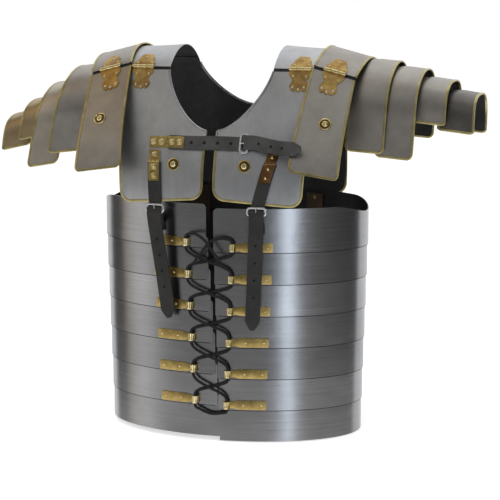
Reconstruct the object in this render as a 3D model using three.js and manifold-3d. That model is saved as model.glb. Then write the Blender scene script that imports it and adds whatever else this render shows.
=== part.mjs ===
// Segmented plate body armour: collar, breast and back plates, shoulder guards and a laced girdle of hoops.
// Millimetres, +Z up, front towards -Y, wearer's left towards +X.
// The origin lies on the shoulder line, under the collar plates, midway between the wearer's shoulders.
import * as THREE from 'three';
import { mergeVertices } from 'three/addons/utils/BufferGeometryUtils.js';
import Module from 'manifold-3d';

const wasm = await Module();
wasm.setup();

// Thicknesses, and the gap that touching pieces keep
const seat = 0.3;
const strapSeat = 0.75;
const steel = 1.2;
const leather = 2.4;

// Girdle: hoops nest inside each other from the top hoop down
const girdle = {
  hoops: 7, halfWidth: 205, halfDepth: 136, topZ: -220, hoopHeight: 65, hoopPitch: 47.5, leftDrop: 6,
  frontGapTop: 11, frontGapBottom: 2.4, frontDrift: 12, backGap: 8, underarmDip: 13, cornerRadius: 7,
};
const underarmHalfAngleShare = 0.2;
const hoopCornerShares = [0, 0.12, 0.45, 1];

// Tie fittings: a brass strip with a rolled tube at its inner end, the rear ones made in one with their hoops
const fitting = {
  rows: 6, topHalfSpacing: 35, bottomHalfSpacing: 24, length: 57, height: 14, thickness: 1.1, edgeMargin: 1,
  tubeRadius: 4.7, boreClearance: 0.95,
};
const tubeWaistShare = 0.45;
const tubeRingShare = 0.55;
const tubeSides = 10;
const barSides = 10;
const fittingMiddle = -girdle.hoopHeight + fitting.edgeMargin + fitting.height / 2;

// Lace through the tubes: strands cross at two depths in front of the hoops
const lace = {
  radius: 2.1, nearLift: 8, farLift: 2.9, tubeReach: 9, arcDrop: 8,
  bowRise: 5, bowLift: 13.5, bowStep: 5.5, bowHalfWidth: 9, loopReach: 21.6, endSpread: 22, endDrop: 34,
};
const laceSides = 8;
const strandSwayShare = 0.14;
const boreRadius = lace.radius + fitting.boreClearance;

// Leathers inside the girdle, one pair in front and one behind
const innerLeather = { width: 30, thickness: 2, gap: 0.75, endMargin: 6, centreX: 95 };

// Collar plates: arched over the shoulder, from the breast hinge to the back hinge
const collar = { neckX: 80, outerX: 158, archRadius: 118, frontY: -74, backY: 70, neckRise: 4 };

// Breast plates
const breast = {
  innerX: 8, neckX: 80, outerX: 150, waistX: 138, neckZ: -114, bottomZ: -212, bottomDrop: 10,
  girdleGap: 11, sideWrap: 14, cornerRadius: 17,
};

// Back plates
const back = {
  innerX: 6, neckX: 80, outerX: 150, waistX: 140, neckZ: -92, bottomZ: -230, bottomDrop: 4,
  girdleGap: 13, sideWrap: 16, cornerRadius: 17,
};
const neckCurveShare = 1.5;
const neckRowShares = [0, 0.2, 0.4, 0.58, 0.74, 0.86, 0.94, 0.985];

// Shoulder guard: a top plate with a front and a back plate hinged to it
const guard = {
  innerX: 147, collarGap: 3.6, width: 66, archRadius: 121, frontY: -75, backY: 71,
  frontInnerLength: 143, frontOuterLength: 137, breastGap: 21, frontInnerShift: 22, frontOuterShift: 30,
  backInnerLength: 135, backOuterLength: 118, backGap: 1, backInnerShift: 18, backOuterShift: 26,
  cornerRadius: 9,
};
const guardTopZ = 2 * steel + guard.collarGap;
const guardTilt = 14.5;
const guardBend = 67;

// Lames below the guard, from the shoulder outwards, one value for each
const lame = {
  width: 60, overlap: 15, cornerRadius: 9,
  centreY: 3, halfDepths: [82, 77, 64, 57], archHeights: [72, 68, 50, 45],
  frontDrops: [132, 130, 64, 58], backDrops: [116, 112, 70, 66],
};
const lameSlopes = { left: [17, 21, 25, 27], right: [24, 32, 37, 39] };
const lameBottomSlopeShare = 0.75;
const lameArchShare = 0.6;
const footRowShares = [0, 0.13, 0.35, 0.65, 1];

// Plate hinges: a middle knuckle turns on a pin between two fixed knuckles
const hinge = {
  breastX: 121, guardInset: 17, leafWidth: 33, knuckleRadius: 2.6, pinRadius: 1.3,
  clearance: 0.35, edgeGap: 3.2, leafLength: 31, leafThickness: 1, leafInlay: 0.7,
};
const pinLeanShares = { out: 0.86, down: 0.51 };
const tabReachShare = 1.5;

// Hinge leaf beyond its knuckles: shares of its half width and length, for each curve's control point and end
const leafShoulderShares = [1, 0.38];
const leafCurveShares = [
  [0.55, 0.5, 0.85, 0.66], [1.02, 0.86, 0.55, 0.84], [0.25, 0.82, 0.2, 0.9], [0, 1.1, -0.2, 0.9],
  [-0.25, 0.82, -0.55, 0.84], [-1.02, 0.86, -0.85, 0.66], [-0.55, 0.5, -1, 0.38],
];

// Bosses: domed rosettes on the breast and guard plates
const boss = {
  radius: 9.5, height: 4.5, sink: 1, breastX: 54, breastZ: -163, guardOffset: 50, guardDrop: 69,
};
const bossProfileShares = [[1, 0.3], [0.84, 0.5], [0.62, 0.24], [0.36, 0.86], [0, 1]];
const bossSides = 12;

// Chest strap: its brass fitting is on the right breast plate and its buckle on the left one
const chest = {
  z: -132, width: 21, startX: -94, plateLength: 27, leafLength: 24, buckleX: 52, tabLength: 30,
  tipX: 146, tipGap: 20, tipLength: 16,
};

// Hanger straps: from a brass fitting on each breast plate to a buckle on the top hoop, with a hanging tail
const hanger = {
  width: 20, topGap: 1, plateLength: 13.5, leafLength: 27, buckleZ: -227, tailWidth: 22, tipLength: 14,
  right: { topX: -85, buckleX: -80, tipX: -63, tipZ: -392 },
  left: { topX: 96, buckleX: 74, tipX: 65, tipZ: -404 },
};

// Brass fitting of a strap: a plate, a knuckle and a leaf over the leather
const strapFitting = { width: 17, thickness: 1, knuckleRadius: 2.2, inlay: 0.5 };

// Buckles: a flat frame; the leather goes in behind one bar and out in front of the other
const buckle = { width: 30, length: 14, bar: 3, thickness: 2.6, tabWidth: 16, tabDrop: 30, tabThickness: 2 };
const buckleTurnShares = { entry: 0.207, exit: -0.21, slant: 0.84 };
const tabBendShare = 0.6;

// Pointed end of a strap: where its last row lies, and how much it has narrowed at the tip
const tipRowShare = 0.75;
const tipNarrowingShare = 0.92;

// Colour, roughness and metalness of each material
const finishes = {
  hoopSteel: [0x9aa0a6, 0.32, 1], plateSteel: [0x8b8f96, 0.4, 1], guardSteel: [0x7c7670, 0.45, 1],
  brass: [0xa08040, 0.35, 1], leather: [0x2c2a29, 0.6, 0], lace: [0x121214, 0.75, 0],
  nickel: [0xc4c6c8, 0.25, 1],
};

const hoopStep = steel + seat;
const { lerp, degToRad } = THREE.MathUtils;
const sides = [['left', 1], ['right', -1]];
const model = new THREE.Group();

function addPiece(name, geometry, finish, parent = model) {
  const [color, roughness, metalness] = finishes[finish];
  const material = new THREE.MeshStandardMaterial({ color, roughness, metalness });
  const mesh = new THREE.Mesh(geometry, material);
  mesh.name = name;
  parent.add(mesh);
  return mesh;
}

// Evenly spread shares from 0 to 1
function evenShares(steps) {
  return Array.from({ length: steps + 1 }, (_, i) => i / steps);
}

// Shares along a length whose far end is rounded: the last ones crowd into the rounding
function roundedEndShares(length, radius, steps) {
  const straight = 1 - radius / length;
  const cornerShares = [0.35, 0.65, 0.87, 1];
  return [...evenShares(steps).map((s) => s * straight), ...cornerShares.map((s) => lerp(straight, 1, s))];
}

// How far a rounded corner has drawn in at a distance from the end
function cornerInset(distance, radius) {
  const rise = Math.min(radius, Math.max(0, radius - distance));
  return radius - Math.sqrt(radius * radius - rise * rise);
}

// A closed geometry from points and triangles, turned so that its faces point out
function closedGeometry(points, triangles) {
  const cornerVolume = (i) => {
    const [a, b, c] = [points[triangles[i]], points[triangles[i + 1]], points[triangles[i + 2]]];
    return a.dot(b.clone().cross(c));
  };
  let volume = 0;
  for (let i = 0; i < triangles.length; i += 3) {
    volume += cornerVolume(i);
  }
  const facesOut = volume > 0;
  const turned = facesOut ? triangles : triangles.slice().reverse();
  const geometry = new THREE.BufferGeometry();
  geometry.setAttribute('position', new THREE.Float32BufferAttribute(points.flatMap((p) => p.toArray()), 3));
  geometry.setIndex(turned);
  return geometry;
}

// Unit normal of a face, from its two directions
function faceNormal(face, u, v) {
  const step = 1e-3;
  const alongU = face(u + step, v).sub(face(u - step, v));
  const alongV = face(u, v + step).sub(face(u, v - step));
  return alongU.cross(alongV).normalize();
}

// A face moved along its normal
function offsetFace(face, distance) {
  return (u, v) => face(u, v).addScaledVector(faceNormal(face, u, v), distance);
}

// Bent sheet between a face and the same face moved along its normal
function sheetSolid(face, us, vs, thickness) {
  const otherFace = offsetFace(face, thickness);
  const points = [face, otherFace].flatMap((f) => us.flatMap((u) => vs.map((v) => f(u, v))));
  const triangles = [];
  const at = (i, j, layer) => (layer * us.length + i) * vs.length + j;
  const quad = (a, b, c, d) => triangles.push(a, b, c, a, c, d);
  const wall = (i, j, k, l) => quad(at(i, j, 0), at(k, l, 0), at(k, l, 1), at(i, j, 1));
  const [lastU, lastV] = [us.length - 1, vs.length - 1];
  for (let i = 0; i < lastU; i += 1) {
    for (let j = 0; j < lastV; j += 1) {
      quad(at(i, j, 0), at(i, j + 1, 0), at(i + 1, j + 1, 0), at(i + 1, j, 0));
      quad(at(i, j, 1), at(i + 1, j, 1), at(i + 1, j + 1, 1), at(i, j + 1, 1));
    }
    wall(i, 0, i + 1, 0);
    wall(i + 1, lastV, i, lastV);
  }
  for (let j = 0; j < lastV; j += 1) {
    wall(0, j + 1, 0, j);
    wall(lastU, j, lastU, j + 1);
  }
  return closedGeometry(points, triangles);
}

function withoutShading(geometry) {
  const bare = geometry.clone();
  bare.deleteAttribute('normal');
  bare.deleteAttribute('uv');
  return bare;
}

function toSolid(geometry) {
  const merged = mergeVertices(withoutShading(geometry), 1e-4);
  return new wasm.Manifold(new wasm.Mesh({
    numProp: 3,
    vertProperties: merged.attributes.position.array,
    triVerts: new Uint32Array(merged.index.array),
  }));
}

function toGeometry(solid) {
  const mesh = solid.getMesh();
  const geometry = new THREE.BufferGeometry();
  geometry.setAttribute('position', new THREE.Float32BufferAttribute(mesh.vertProperties, 3));
  geometry.setIndex(new THREE.BufferAttribute(mesh.triVerts, 1));
  return geometry;
}

function joined(...geometries) {
  return toGeometry(geometries.map(toSolid).reduce((sum, solid) => sum.add(solid)));
}

function cutFrom(geometry, tool) {
  return toGeometry(toSolid(geometry).subtract(toSolid(tool)));
}

// Unit normal of a front or back face, pointing forwards or backwards as the face does
function outwardNormal(face, u, v, facing) {
  const normal = faceNormal(face, u, v);
  return normal.multiplyScalar(Math.sign(normal.y) * facing);
}

// A flat outline laid on a face: its x and y become the face's u and v, its depth runs along the normal
function wrappedOutline(outline, face, facing, from, to) {
  const settings = { depth: to - from, bevelEnabled: false, curveSegments: 2 };
  const slab = new THREE.ExtrudeGeometry(outline, settings);
  const merged = mergeVertices(withoutShading(slab), 1e-4);
  const place = merged.attributes.position;
  const points = Array.from({ length: place.count }, (_, i) => {
    const [u, v, depth] = [place.getX(i), place.getY(i), place.getZ(i)];
    return face(u, v).addScaledVector(outwardNormal(face, u, v, facing), from + depth);
  });
  return closedGeometry(points, Array.from(merged.index.array));
}

// A band laid on a face: its route and half width are in the face's own measures, its layers above the face
function band(face, facing, route, halfWidth, shares, layers) {
  const lifted = (u, v) => {
    const [centreU, centreV] = route(v);
    const [acrossU, acrossV] = halfWidth(v);
    const [a, b] = [centreU + (2 * u - 1) * acrossU, centreV + (2 * u - 1) * acrossV];
    return face(a, b).addScaledVector(outwardNormal(face, a, b, facing), layers[0]);
  };
  const outward = Math.sign(faceNormal(lifted, 1 / 2, 1 / 2).y) * facing;
  return sheetSolid(lifted, [0, 1], shares, outward * (layers[1] - layers[0]));
}

// Round bar along X between two places
function barAlongX(startX, endX, y, z, radius) {
  const bar = new THREE.CylinderGeometry(radius, radius, endX - startX, barSides);
  bar.rotateZ(Math.PI / 2);
  bar.translate((startX + endX) / 2, y, z);
  return bar;
}

// Half-ellipse of a hoop in plan: angle 0 is the front and half a turn the back
function hoopPlan(index, angle) {
  const a = girdle.halfWidth - index * hoopStep;
  const b = girdle.halfDepth - index * hoopStep;
  return new THREE.Vector3(a * Math.sin(angle), -b * Math.cos(angle), 0);
}

function hoopTopZ(index, side) {
  return girdle.topZ - index * girdle.hoopPitch - (side > 0 ? girdle.leftDrop : 0);
}

// One half of a hoop, a bent strip with rounded upper corners; the top hoop dips under the arm
function halfHoop(index, side) {
  const share = index / (girdle.hoops - 1);
  const a = girdle.halfWidth - index * hoopStep;
  const halfGap = lerp(girdle.frontGapTop, girdle.frontGapBottom, share) / 2;
  const start = Math.asin((halfGap + side * girdle.frontDrift * share) / a);
  const end = Math.PI - Math.asin(girdle.backGap / 2 / a);
  const dip = (angle) => {
    const away = Math.abs(angle / Math.PI - 1 / 2) / underarmHalfAngleShare;
    const underarm = index === 0 && away < 1 ? girdle.underarmDip * (1 + Math.cos(away * Math.PI)) / 2 : 0;
    return underarm + cornerInset(Math.min(angle - start, end - angle) * a, girdle.cornerRadius);
  };
  const face = (u, v) => {
    const angle = lerp(start, end, u);
    const point = hoopPlan(index, angle);
    return point.set(point.x * side, point.y, lerp(-girdle.hoopHeight, -dip(angle), v));
  };
  const cornerShare = girdle.cornerRadius / (a * (end - start));
  const near = hoopCornerShares.map((s) => s * cornerShare);
  const between = evenShares(22).slice(1, -1).map((s) => lerp(cornerShare, 1 - cornerShare, s));
  const shares = [...near, ...between, ...near.map((s) => 1 - s).reverse()];
  return sheetSolid(face, shares, [0, 1], -side * steel);
}

function addHoops() {
  for (let index = 0; index < girdle.hoops; index += 1) {
    for (const [label, side] of sides) {
      const rearFitting = index < fitting.rows ? [tieFitting(index, side, 1, plainTube(), -steel / 2)] : [];
      const hoop = joined(halfHoop(index, side), ...rearFitting);
      const mesh = addPiece(`hoop_${index + 1}_${label}`, hoop, 'hoopSteel');
      mesh.position.z = hoopTopZ(index, side);
    }
  }
}

// Outer face of a hoop's front or back, by distance from the middle plane and height
function hoopFace(index, facing) {
  const a = girdle.halfWidth - index * hoopStep;
  const b = girdle.halfDepth - index * hoopStep;
  return (x, z) => new THREE.Vector3(x, facing * b * Math.sqrt(1 - (x / a) ** 2), z);
}

function fittingHalfSpacing(row) {
  return lerp(fitting.topHalfSpacing, fitting.bottomHalfSpacing, row / (fitting.rows - 1));
}

// Rolled tube with two raised rings round its bore
function rolledTube() {
  const { tubeRadius, height } = fitting;
  const waistRadius = lerp(boreRadius, tubeRadius, tubeWaistShare);
  const outline = [
    [boreRadius, -1], [waistRadius, -1], [tubeRadius, -tubeRingShare], [waistRadius, 0],
    [tubeRadius, tubeRingShare], [waistRadius, 1], [boreRadius, 1], [boreRadius, -1],
  ].map(([radius, heightShare]) => new THREE.Vector2(radius, heightShare * height / 2));
  return new THREE.LatheGeometry(outline, tubeSides).rotateX(Math.PI / 2);
}

// Tube without rings
function plainTube() {
  const { tubeRadius, height } = fitting;
  const corners = [[boreRadius, -1], [tubeRadius, -1], [tubeRadius, 1], [boreRadius, 1], [boreRadius, -1]];
  const outline = corners.map(([radius, heightShare]) => new THREE.Vector2(radius, heightShare * height / 2));
  return new THREE.LatheGeometry(outline, tubeSides).rotateX(Math.PI / 2);
}

function barAlongZ(centre, length, radius) {
  const bar = new THREE.CylinderGeometry(radius, radius, length, tubeSides);
  return bar.rotateX(Math.PI / 2).translate(centre.x, centre.y, centre.z);
}

// Middle of a tie tube, in the hoop's own heights
function tubeCentre(row, side, facing) {
  const face = hoopFace(row, facing);
  const x = side * fittingHalfSpacing(row);
  const lift = seat + fitting.tubeRadius;
  return face(x, fittingMiddle).addScaledVector(outwardNormal(face, x, fittingMiddle, facing), lift);
}

// Strip and tube of one tie fitting, in the hoop's own heights
function tieFitting(row, side, facing, tube, under) {
  const face = hoopFace(row, facing);
  const tubeX = fittingHalfSpacing(row);
  const route = (v) => [side * lerp(tubeX, tubeX + fitting.length, v), fittingMiddle];
  const strip = band(face, facing, route, () => [0, fitting.height / 2], evenShares(6),
    [under, seat + fitting.thickness]);
  const centre = tubeCentre(row, side, facing);
  const bored = cutFrom(strip, barAlongZ(centre, fitting.height, boreRadius));
  return joined(bored, tube.translate(centre.x, centre.y, centre.z));
}

function addTieFittings() {
  for (let row = 0; row < fitting.rows; row += 1) {
    for (const [label, side] of sides) {
      const piece = tieFitting(row, side, -1, rolledTube(), seat);
      const mesh = addPiece(`tie_fitting_${row + 1}_${label}`, piece, 'brass');
      mesh.position.z = hoopTopZ(row, side);
    }
  }
}

// Middle of a tie tube, in the armour's own heights
function tubePlace(row, side, facing) {
  return tubeCentre(row, side, facing).add(new THREE.Vector3(0, 0, hoopTopZ(row, side)));
}

// A route that runs straight from point to point, one step to each
class StraightSteps extends THREE.Curve {
  constructor(points) {
    super();
    this.points = points;
  }

  getPoint(t) {
    const place = Math.min(1, Math.max(0, t)) * (this.points.length - 1);
    const step = Math.min(Math.floor(place), this.points.length - 2);
    return this.points[step].clone().lerp(this.points[step + 1], place - step);
  }

  getPointAt(t) {
    return this.getPoint(t);
  }

  getTangentAt(t) {
    return this.getTangent(t);
  }
}

// Points of the lace: down through the tubes from side to side, round below the last row and up again
function laceRoute(facing) {
  const reach = new THREE.Vector3(0, 0, lace.tubeReach);
  const tubes = evenShares(fitting.rows - 1)
    .map((_, row) => sides.map(([, side]) => tubePlace(row, side, facing)));
  const depthAt = (row, lift) => facing * (girdle.halfDepth - row * hoopStep + lift);
  const strand = (row, from, lift) => {
    const start = tubes[row][from].clone().sub(reach);
    const end = tubes[row + 1][1 - from].clone().add(reach);
    const middle = start.clone().lerp(end, 1 / 2).setY(depthAt(row + 1, lift));
    const between = (from, to, share) => {
      const point = from.clone().lerp(to, 1 / 4);
      return point.set(lerp(from.x, to.x, share), (point.y + middle.y) / 2, point.z);
    };
    return [start, between(start, end, strandSwayShare), middle, between(end, start, strandSwayShare), end];
  };
  const rows = Array.from({ length: fitting.rows - 1 }, (_, row) => row);
  const lifts = [lace.farLift, lace.nearLift];
  const down = rows.flatMap((row) => strand(row, row % 2, lifts[row % 2]));
  const up = rows.flatMap((row) => strand(row, 1 - row % 2, lifts[1 - row % 2])).reverse();
  const lastRow = fitting.rows - 1;
  const ends = [lastRow % 2, 1 - lastRow % 2].map((from) => tubes[lastRow][from].clone().sub(reach));
  const arc = [1 / 6, 1 / 2, 5 / 6].map((s) => {
    const point = ends[0].clone().lerp(ends[1], s);
    return point.setZ(point.z - lace.arcDrop * 4 * s * (1 - s));
  });
  const bow = (from, lift) => {
    const top = tubes[0][from].clone().add(reach);
    const towards = Math.sign(-top.x);
    const y = depthAt(0, lift);
    const at = (x, z, share) => new THREE.Vector3(x, lerp(top.y, y, share), top.z + z);
    return [
      top,
      at(-towards * lace.loopReach, lace.bowRise, 1 / 2),
      at(-towards * lace.bowHalfWidth, lace.bowRise / 2, 1),
      at(0, -lace.bowRise, 1),
      at(towards * lace.bowHalfWidth, -lace.endDrop / 2, 1),
      at(towards * lace.endSpread, -lace.endDrop, 1),
    ];
  };
  const startEnd = bow(0, lace.bowLift).reverse();
  const lastEnd = bow(1, lace.bowLift + lace.bowStep);
  return [...startEnd, ...down, ends[0], ...arc, ends[1], ...up, ...lastEnd];
}

function addLaces() {
  for (const [place, facing] of [['front', -1], ['back', 1]]) {
    const points = laceRoute(facing);
    const section = new THREE.Shape().absarc(0, 0, lace.radius, 0, 2 * Math.PI);
    const cord = new THREE.ExtrudeGeometry(section, {
      steps: points.length - 1,
      curveSegments: laceSides / 2,
      bevelEnabled: false,
      extrudePath: new StraightSteps(points),
    });
    addPiece(`lace_${place}`, toGeometry(toSolid(cord)), 'lace');
  }
}

// Leathers inside the girdle touch the top edge of every hoop
function addInnerLeathers() {
  const length = (girdle.hoops - 1) * girdle.hoopPitch + girdle.hoopHeight;
  const inside = -(steel + innerLeather.gap);
  for (const [place, facing] of [['front', -1], ['back', 1]]) {
    for (const [label, side] of sides) {
      const top = hoopTopZ(0, side);
      const face = (x, down) => {
        const index = Math.min(girdle.hoops - 1, Math.max(0, down / girdle.hoopPitch));
        return hoopFace(index, facing)(x, top - down);
      };
      const route = (v) =>
        [side * innerLeather.centreX, lerp(innerLeather.endMargin, length - innerLeather.endMargin, v)];
      const leatherBand = band(face, facing, route, () => [innerLeather.width / 2, 0], evenShares(14),
        [inside - innerLeather.thickness, inside]);
      addPiece(`inner_leather_${place}_${label}`, leatherBand, 'leather');
    }
  }
}

// Where an arched plate's hinge pin lies: past its edge and above its face
function pinBeyond(archRadius, crownZ, edgeY) {
  const angle = Math.asin(Math.abs(edgeY) / archRadius);
  const facing = Math.sign(edgeY);
  const [out, down] = [Math.sin(angle), Math.cos(angle)];
  return {
    facing,
    y: edgeY + facing * (down * hinge.edgeGap + out * hinge.knuckleRadius),
    z: crownZ + archRadius * (down - 1) - out * hinge.edgeGap + down * hinge.knuckleRadius,
  };
}

// Where the outer face of the plate below a pin starts, level with the pin
function faceStart(pin) {
  return {
    y: pin.y - pin.facing * pinLeanShares.out * hinge.knuckleRadius,
    z: pin.z - pinLeanShares.down * hinge.knuckleRadius,
  };
}

function archLength(arch) {
  const halfAngle = (y) => Math.asin(Math.abs(y) / arch.archRadius);
  return arch.archRadius * (halfAngle(arch.frontY) + halfAngle(arch.backY));
}

// Point of an arch over the shoulder, by arc length from its front edge
function archPoint(arch, arc, crownZ) {
  const angle = Math.asin(-arch.frontY / arch.archRadius) - arc / arch.archRadius;
  return { y: -arch.archRadius * Math.sin(angle), z: crownZ + arch.archRadius * (Math.cos(angle) - 1) };
}

// Outer face of the collar plate, by X and arc length: it rises a little towards the neck
function collarFace(x, arc) {
  const inward = (collar.outerX - Math.abs(x)) / (collar.outerX - collar.neckX);
  const share = arc / archLength(collar);
  const { y, z } = archPoint(collar, arc, steel);
  return new THREE.Vector3(x, y, z + collar.neckRise * inward ** 2 * 4 * share * (1 - share));
}

function collarGeometry(side) {
  const face = (u, v) => collarFace(side * lerp(collar.neckX, collar.outerX, u), v * archLength(collar));
  return sheetSolid(face, evenShares(4), evenShares(12), -side * steel);
}

// A breast or back plate with its pin and the place where its face starts
function hungPlate(plate, edgeY) {
  const pin = pinBeyond(collar.archRadius, steel, edgeY);
  const bottomY = pin.facing * (girdle.halfDepth + plate.girdleGap);
  return { ...plate, bottomY, pin, start: faceStart(pin) };
}

const breastPlate = hungPlate(breast, collar.frontY);
const backPlate = hungPlate(back, collar.backY);

// Outer face of a breast or back plate, by X and by height below the pin
function torsoFace(plate) {
  return (x, down) => {
    const fall = down / (plate.start.z - plate.bottomZ);
    const endY = plate.bottomY - plate.pin.facing * plate.sideWrap * (x / plate.outerX) ** 2;
    const y = lerp(plate.start.y, endY, Math.sin(fall * Math.PI / 2));
    return new THREE.Vector3(x, y, plate.start.z - down);
  };
}

// A bent sheet between its neck edge and outer edge, with rounded lower corners
function torsoGeometry(plate, side) {
  const face = torsoFace(plate);
  const length = plate.start.z - plate.bottomZ;
  const neckDepth = plate.start.z - plate.neckZ;
  const neckRows = neckRowShares.map((s) => lerp(hinge.edgeGap, neckDepth, s) / length);
  const lowerRows = roundedEndShares(length - neckDepth, plate.cornerRadius, 4)
    .map((s) => lerp(neckDepth, length, s) / length);
  const bentFace = (u, v) => {
    const down = v * length;
    const neckShare = Math.min(1, Math.max(0, down / neckDepth));
    const open = (1 - neckShare ** neckCurveShare) ** (1 / neckCurveShare);
    const inset = cornerInset(length - down, plate.cornerRadius);
    const inner = lerp(plate.innerX, plate.neckX, open) + inset;
    const outer = lerp(plate.outerX, plate.waistX, v) - inset;
    const x = lerp(inner, outer, u);
    return face(side * x, down + plate.bottomDrop * v ** 2 * (x / plate.waistX));
  };
  return sheetSolid(bentFace, evenShares(5), [...neckRows, ...lowerRows], -side * plate.pin.facing * steel);
}

// The guard's own frame has its origin at the inner edge of the top plate, X outward along the tilted width
function guardTopFace(x, arc) {
  const { y, z } = archPoint(guard, arc, 0);
  return new THREE.Vector3(x, y, z);
}

function guardTopGeometry(side) {
  const face = (u, v) => guardTopFace(side * guard.width * u, v * archLength(guard));
  return sheetSolid(face, [0, 1], evenShares(14), -side * steel);
}

// A front or back plate of the guard, with its pin and the place where its face starts
function hangingPlate(edgeY, sizes) {
  const pin = pinBeyond(guard.archRadius, 0, edgeY);
  return { ...sizes, pin, start: faceStart(pin) };
}

const guardFront = hangingPlate(guard.frontY, {
  innerLength: guard.frontInnerLength, outerLength: guard.frontOuterLength,
  endY: breastPlate.bottomY - guard.breastGap,
  innerShift: guard.frontInnerShift, outerShift: guard.frontOuterShift,
});
const guardBack = hangingPlate(guard.backY, {
  innerLength: guard.backInnerLength, outerLength: guard.backOuterLength,
  endY: backPlate.bottomY + guard.backGap,
  innerShift: guard.backInnerShift, outerShift: guard.backOuterShift,
});

// Outer face of a hanging plate, by X and by height below the pin
function hangingFace(plate) {
  const bend = degToRad(guardBend);
  return (x, down) => {
    const bulge = Math.sin(bend * down / plate.innerLength) / Math.sin(bend);
    return new THREE.Vector3(x, lerp(plate.start.y, plate.endY, bulge), plate.start.z - down);
  };
}

function hangingGeometry(plate, side) {
  const face = hangingFace(plate);
  const bentFace = (u, v) => {
    const down = lerp(hinge.edgeGap, lerp(plate.innerLength, plate.outerLength, u), v);
    const inset = cornerInset((1 - v) * plate.outerLength, guard.cornerRadius);
    const inner = plate.innerShift * v + inset;
    const outer = guard.width + plate.outerShift * v - inset;
    return face(side * lerp(inner, outer, u), down);
  };
  const rows = roundedEndShares(plate.outerLength, guard.cornerRadius, 6);
  return sheetSolid(bentFace, evenShares(3), rows, -side * plate.pin.facing * steel);
}

// Outline of a hinge leaf, by X along the pin and by length away from it: waisted, ending in three lobes
function leafOutline(centreX) {
  const half = hinge.leafWidth / 2;
  const length = hinge.leafLength;
  const at = (xShare, lengthShare) => [centreX + xShare * half, lengthShare * length];
  const outline = new THREE.Shape();
  outline.moveTo(centreX - half, hinge.edgeGap);
  outline.lineTo(centreX + half, hinge.edgeGap);
  outline.lineTo(...at(...leafShoulderShares));
  for (const [controlX, controlLength, endX, endLength] of leafCurveShares) {
    outline.quadraticCurveTo(...at(controlX, controlLength), ...at(endX, endLength));
  }
  return outline;
}

function rectangle(x0, y0, x1, y1) {
  const outline = new THREE.Shape();
  outline.moveTo(x0, y0);
  outline.lineTo(x1, y0);
  outline.lineTo(x1, y1);
  outline.lineTo(x0, y1);
  return outline;
}

// Leaf with its tabs, laid on a face that is measured away from the pin
function hingeLeaf(centreX, face, facing, knuckles) {
  const layers = [-hinge.leafInlay, hinge.leafThickness];
  const tabs = knuckles.map(([x0, x1]) =>
    wrappedOutline(rectangle(x0, 0, x1, hinge.edgeGap * tabReachShare), face, facing, ...layers));
  return joined(wrappedOutline(leafOutline(centreX), face, facing, ...layers), ...tabs);
}

// Both halves of a hinge: the fixed one has the outer knuckles and the pin, the moving one the middle knuckle
function hingeHalves(centreX, pin, fixedFace, movingFace) {
  const start = centreX - hinge.leafWidth / 2;
  const length = (hinge.leafWidth - 2 * hinge.clearance) / 3;
  const knuckles = [0, 1, 2].map((i) => start + i * (length + hinge.clearance)).map((x) => [x, x + length]);
  const [first, middle, last] = knuckles;
  const barrel = ([x0, x1]) => barAlongX(x0, x1, pin.y, pin.z, hinge.knuckleRadius);
  const rod = barAlongX(first[0], last[1], pin.y, pin.z, hinge.pinRadius);
  const bore = barAlongX(first[0], last[1], pin.y, pin.z, hinge.pinRadius + hinge.clearance);
  return {
    fixed: joined(hingeLeaf(centreX, fixedFace, pin.facing, [first, last]), barrel(first), barrel(last), rod),
    moving: cutFrom(joined(hingeLeaf(centreX, movingFace, pin.facing, [middle]), barrel(middle)), bore),
  };
}

// Frame of a place on a face: X along the face's first direction, Z along its outward normal
function placeOnFace(face, u, v, facing) {
  const normal = outwardNormal(face, u, v, facing);
  const across = new THREE.Vector3(1, 0, 0).addScaledVector(normal, -normal.x).normalize();
  const up = normal.clone().cross(across);
  return new THREE.Matrix4().makeBasis(across, up, normal).setPosition(face(u, v));
}

function bossGeometry(place) {
  const outline = [[0, -boss.sink], [boss.radius, -boss.sink],
    ...bossProfileShares.map(([r, h]) => [r * boss.radius, h * boss.height])];
  const dome = new THREE.LatheGeometry(outline.map(([r, h]) => new THREE.Vector2(r, h)), bossSides);
  return dome.rotateX(Math.PI / 2).applyMatrix4(place);
}

function addCollarAndTorsoPlates() {
  for (const [label, side] of sides) {
    const centreX = side * hinge.breastX;
    const front = hingeHalves(centreX, breastPlate.pin, (x, s) => collarFace(x, s - hinge.edgeGap),
      torsoFace(breastPlate));
    const rear = hingeHalves(centreX, backPlate.pin,
      (x, s) => collarFace(x, archLength(collar) + hinge.edgeGap - s), torsoFace(backPlate));
    const breastBoss = placeOnFace(torsoFace(breastPlate), side * boss.breastX,
      breastPlate.start.z - boss.breastZ, -1);
    addPiece(`collar_plate_${label}`, joined(collarGeometry(side), front.fixed, rear.fixed), 'plateSteel');
    const fixedOn = [front.moving, bossGeometry(breastBoss), ...(side > 0 ? [chestBuckle()] : [])];
    addPiece(`breast_plate_${label}`, joined(torsoGeometry(breastPlate, side), ...fixedOn), 'plateSteel');
    addPiece(`back_plate_${label}`, joined(torsoGeometry(backPlate, side), rear.moving), 'plateSteel');
  }
}

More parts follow.
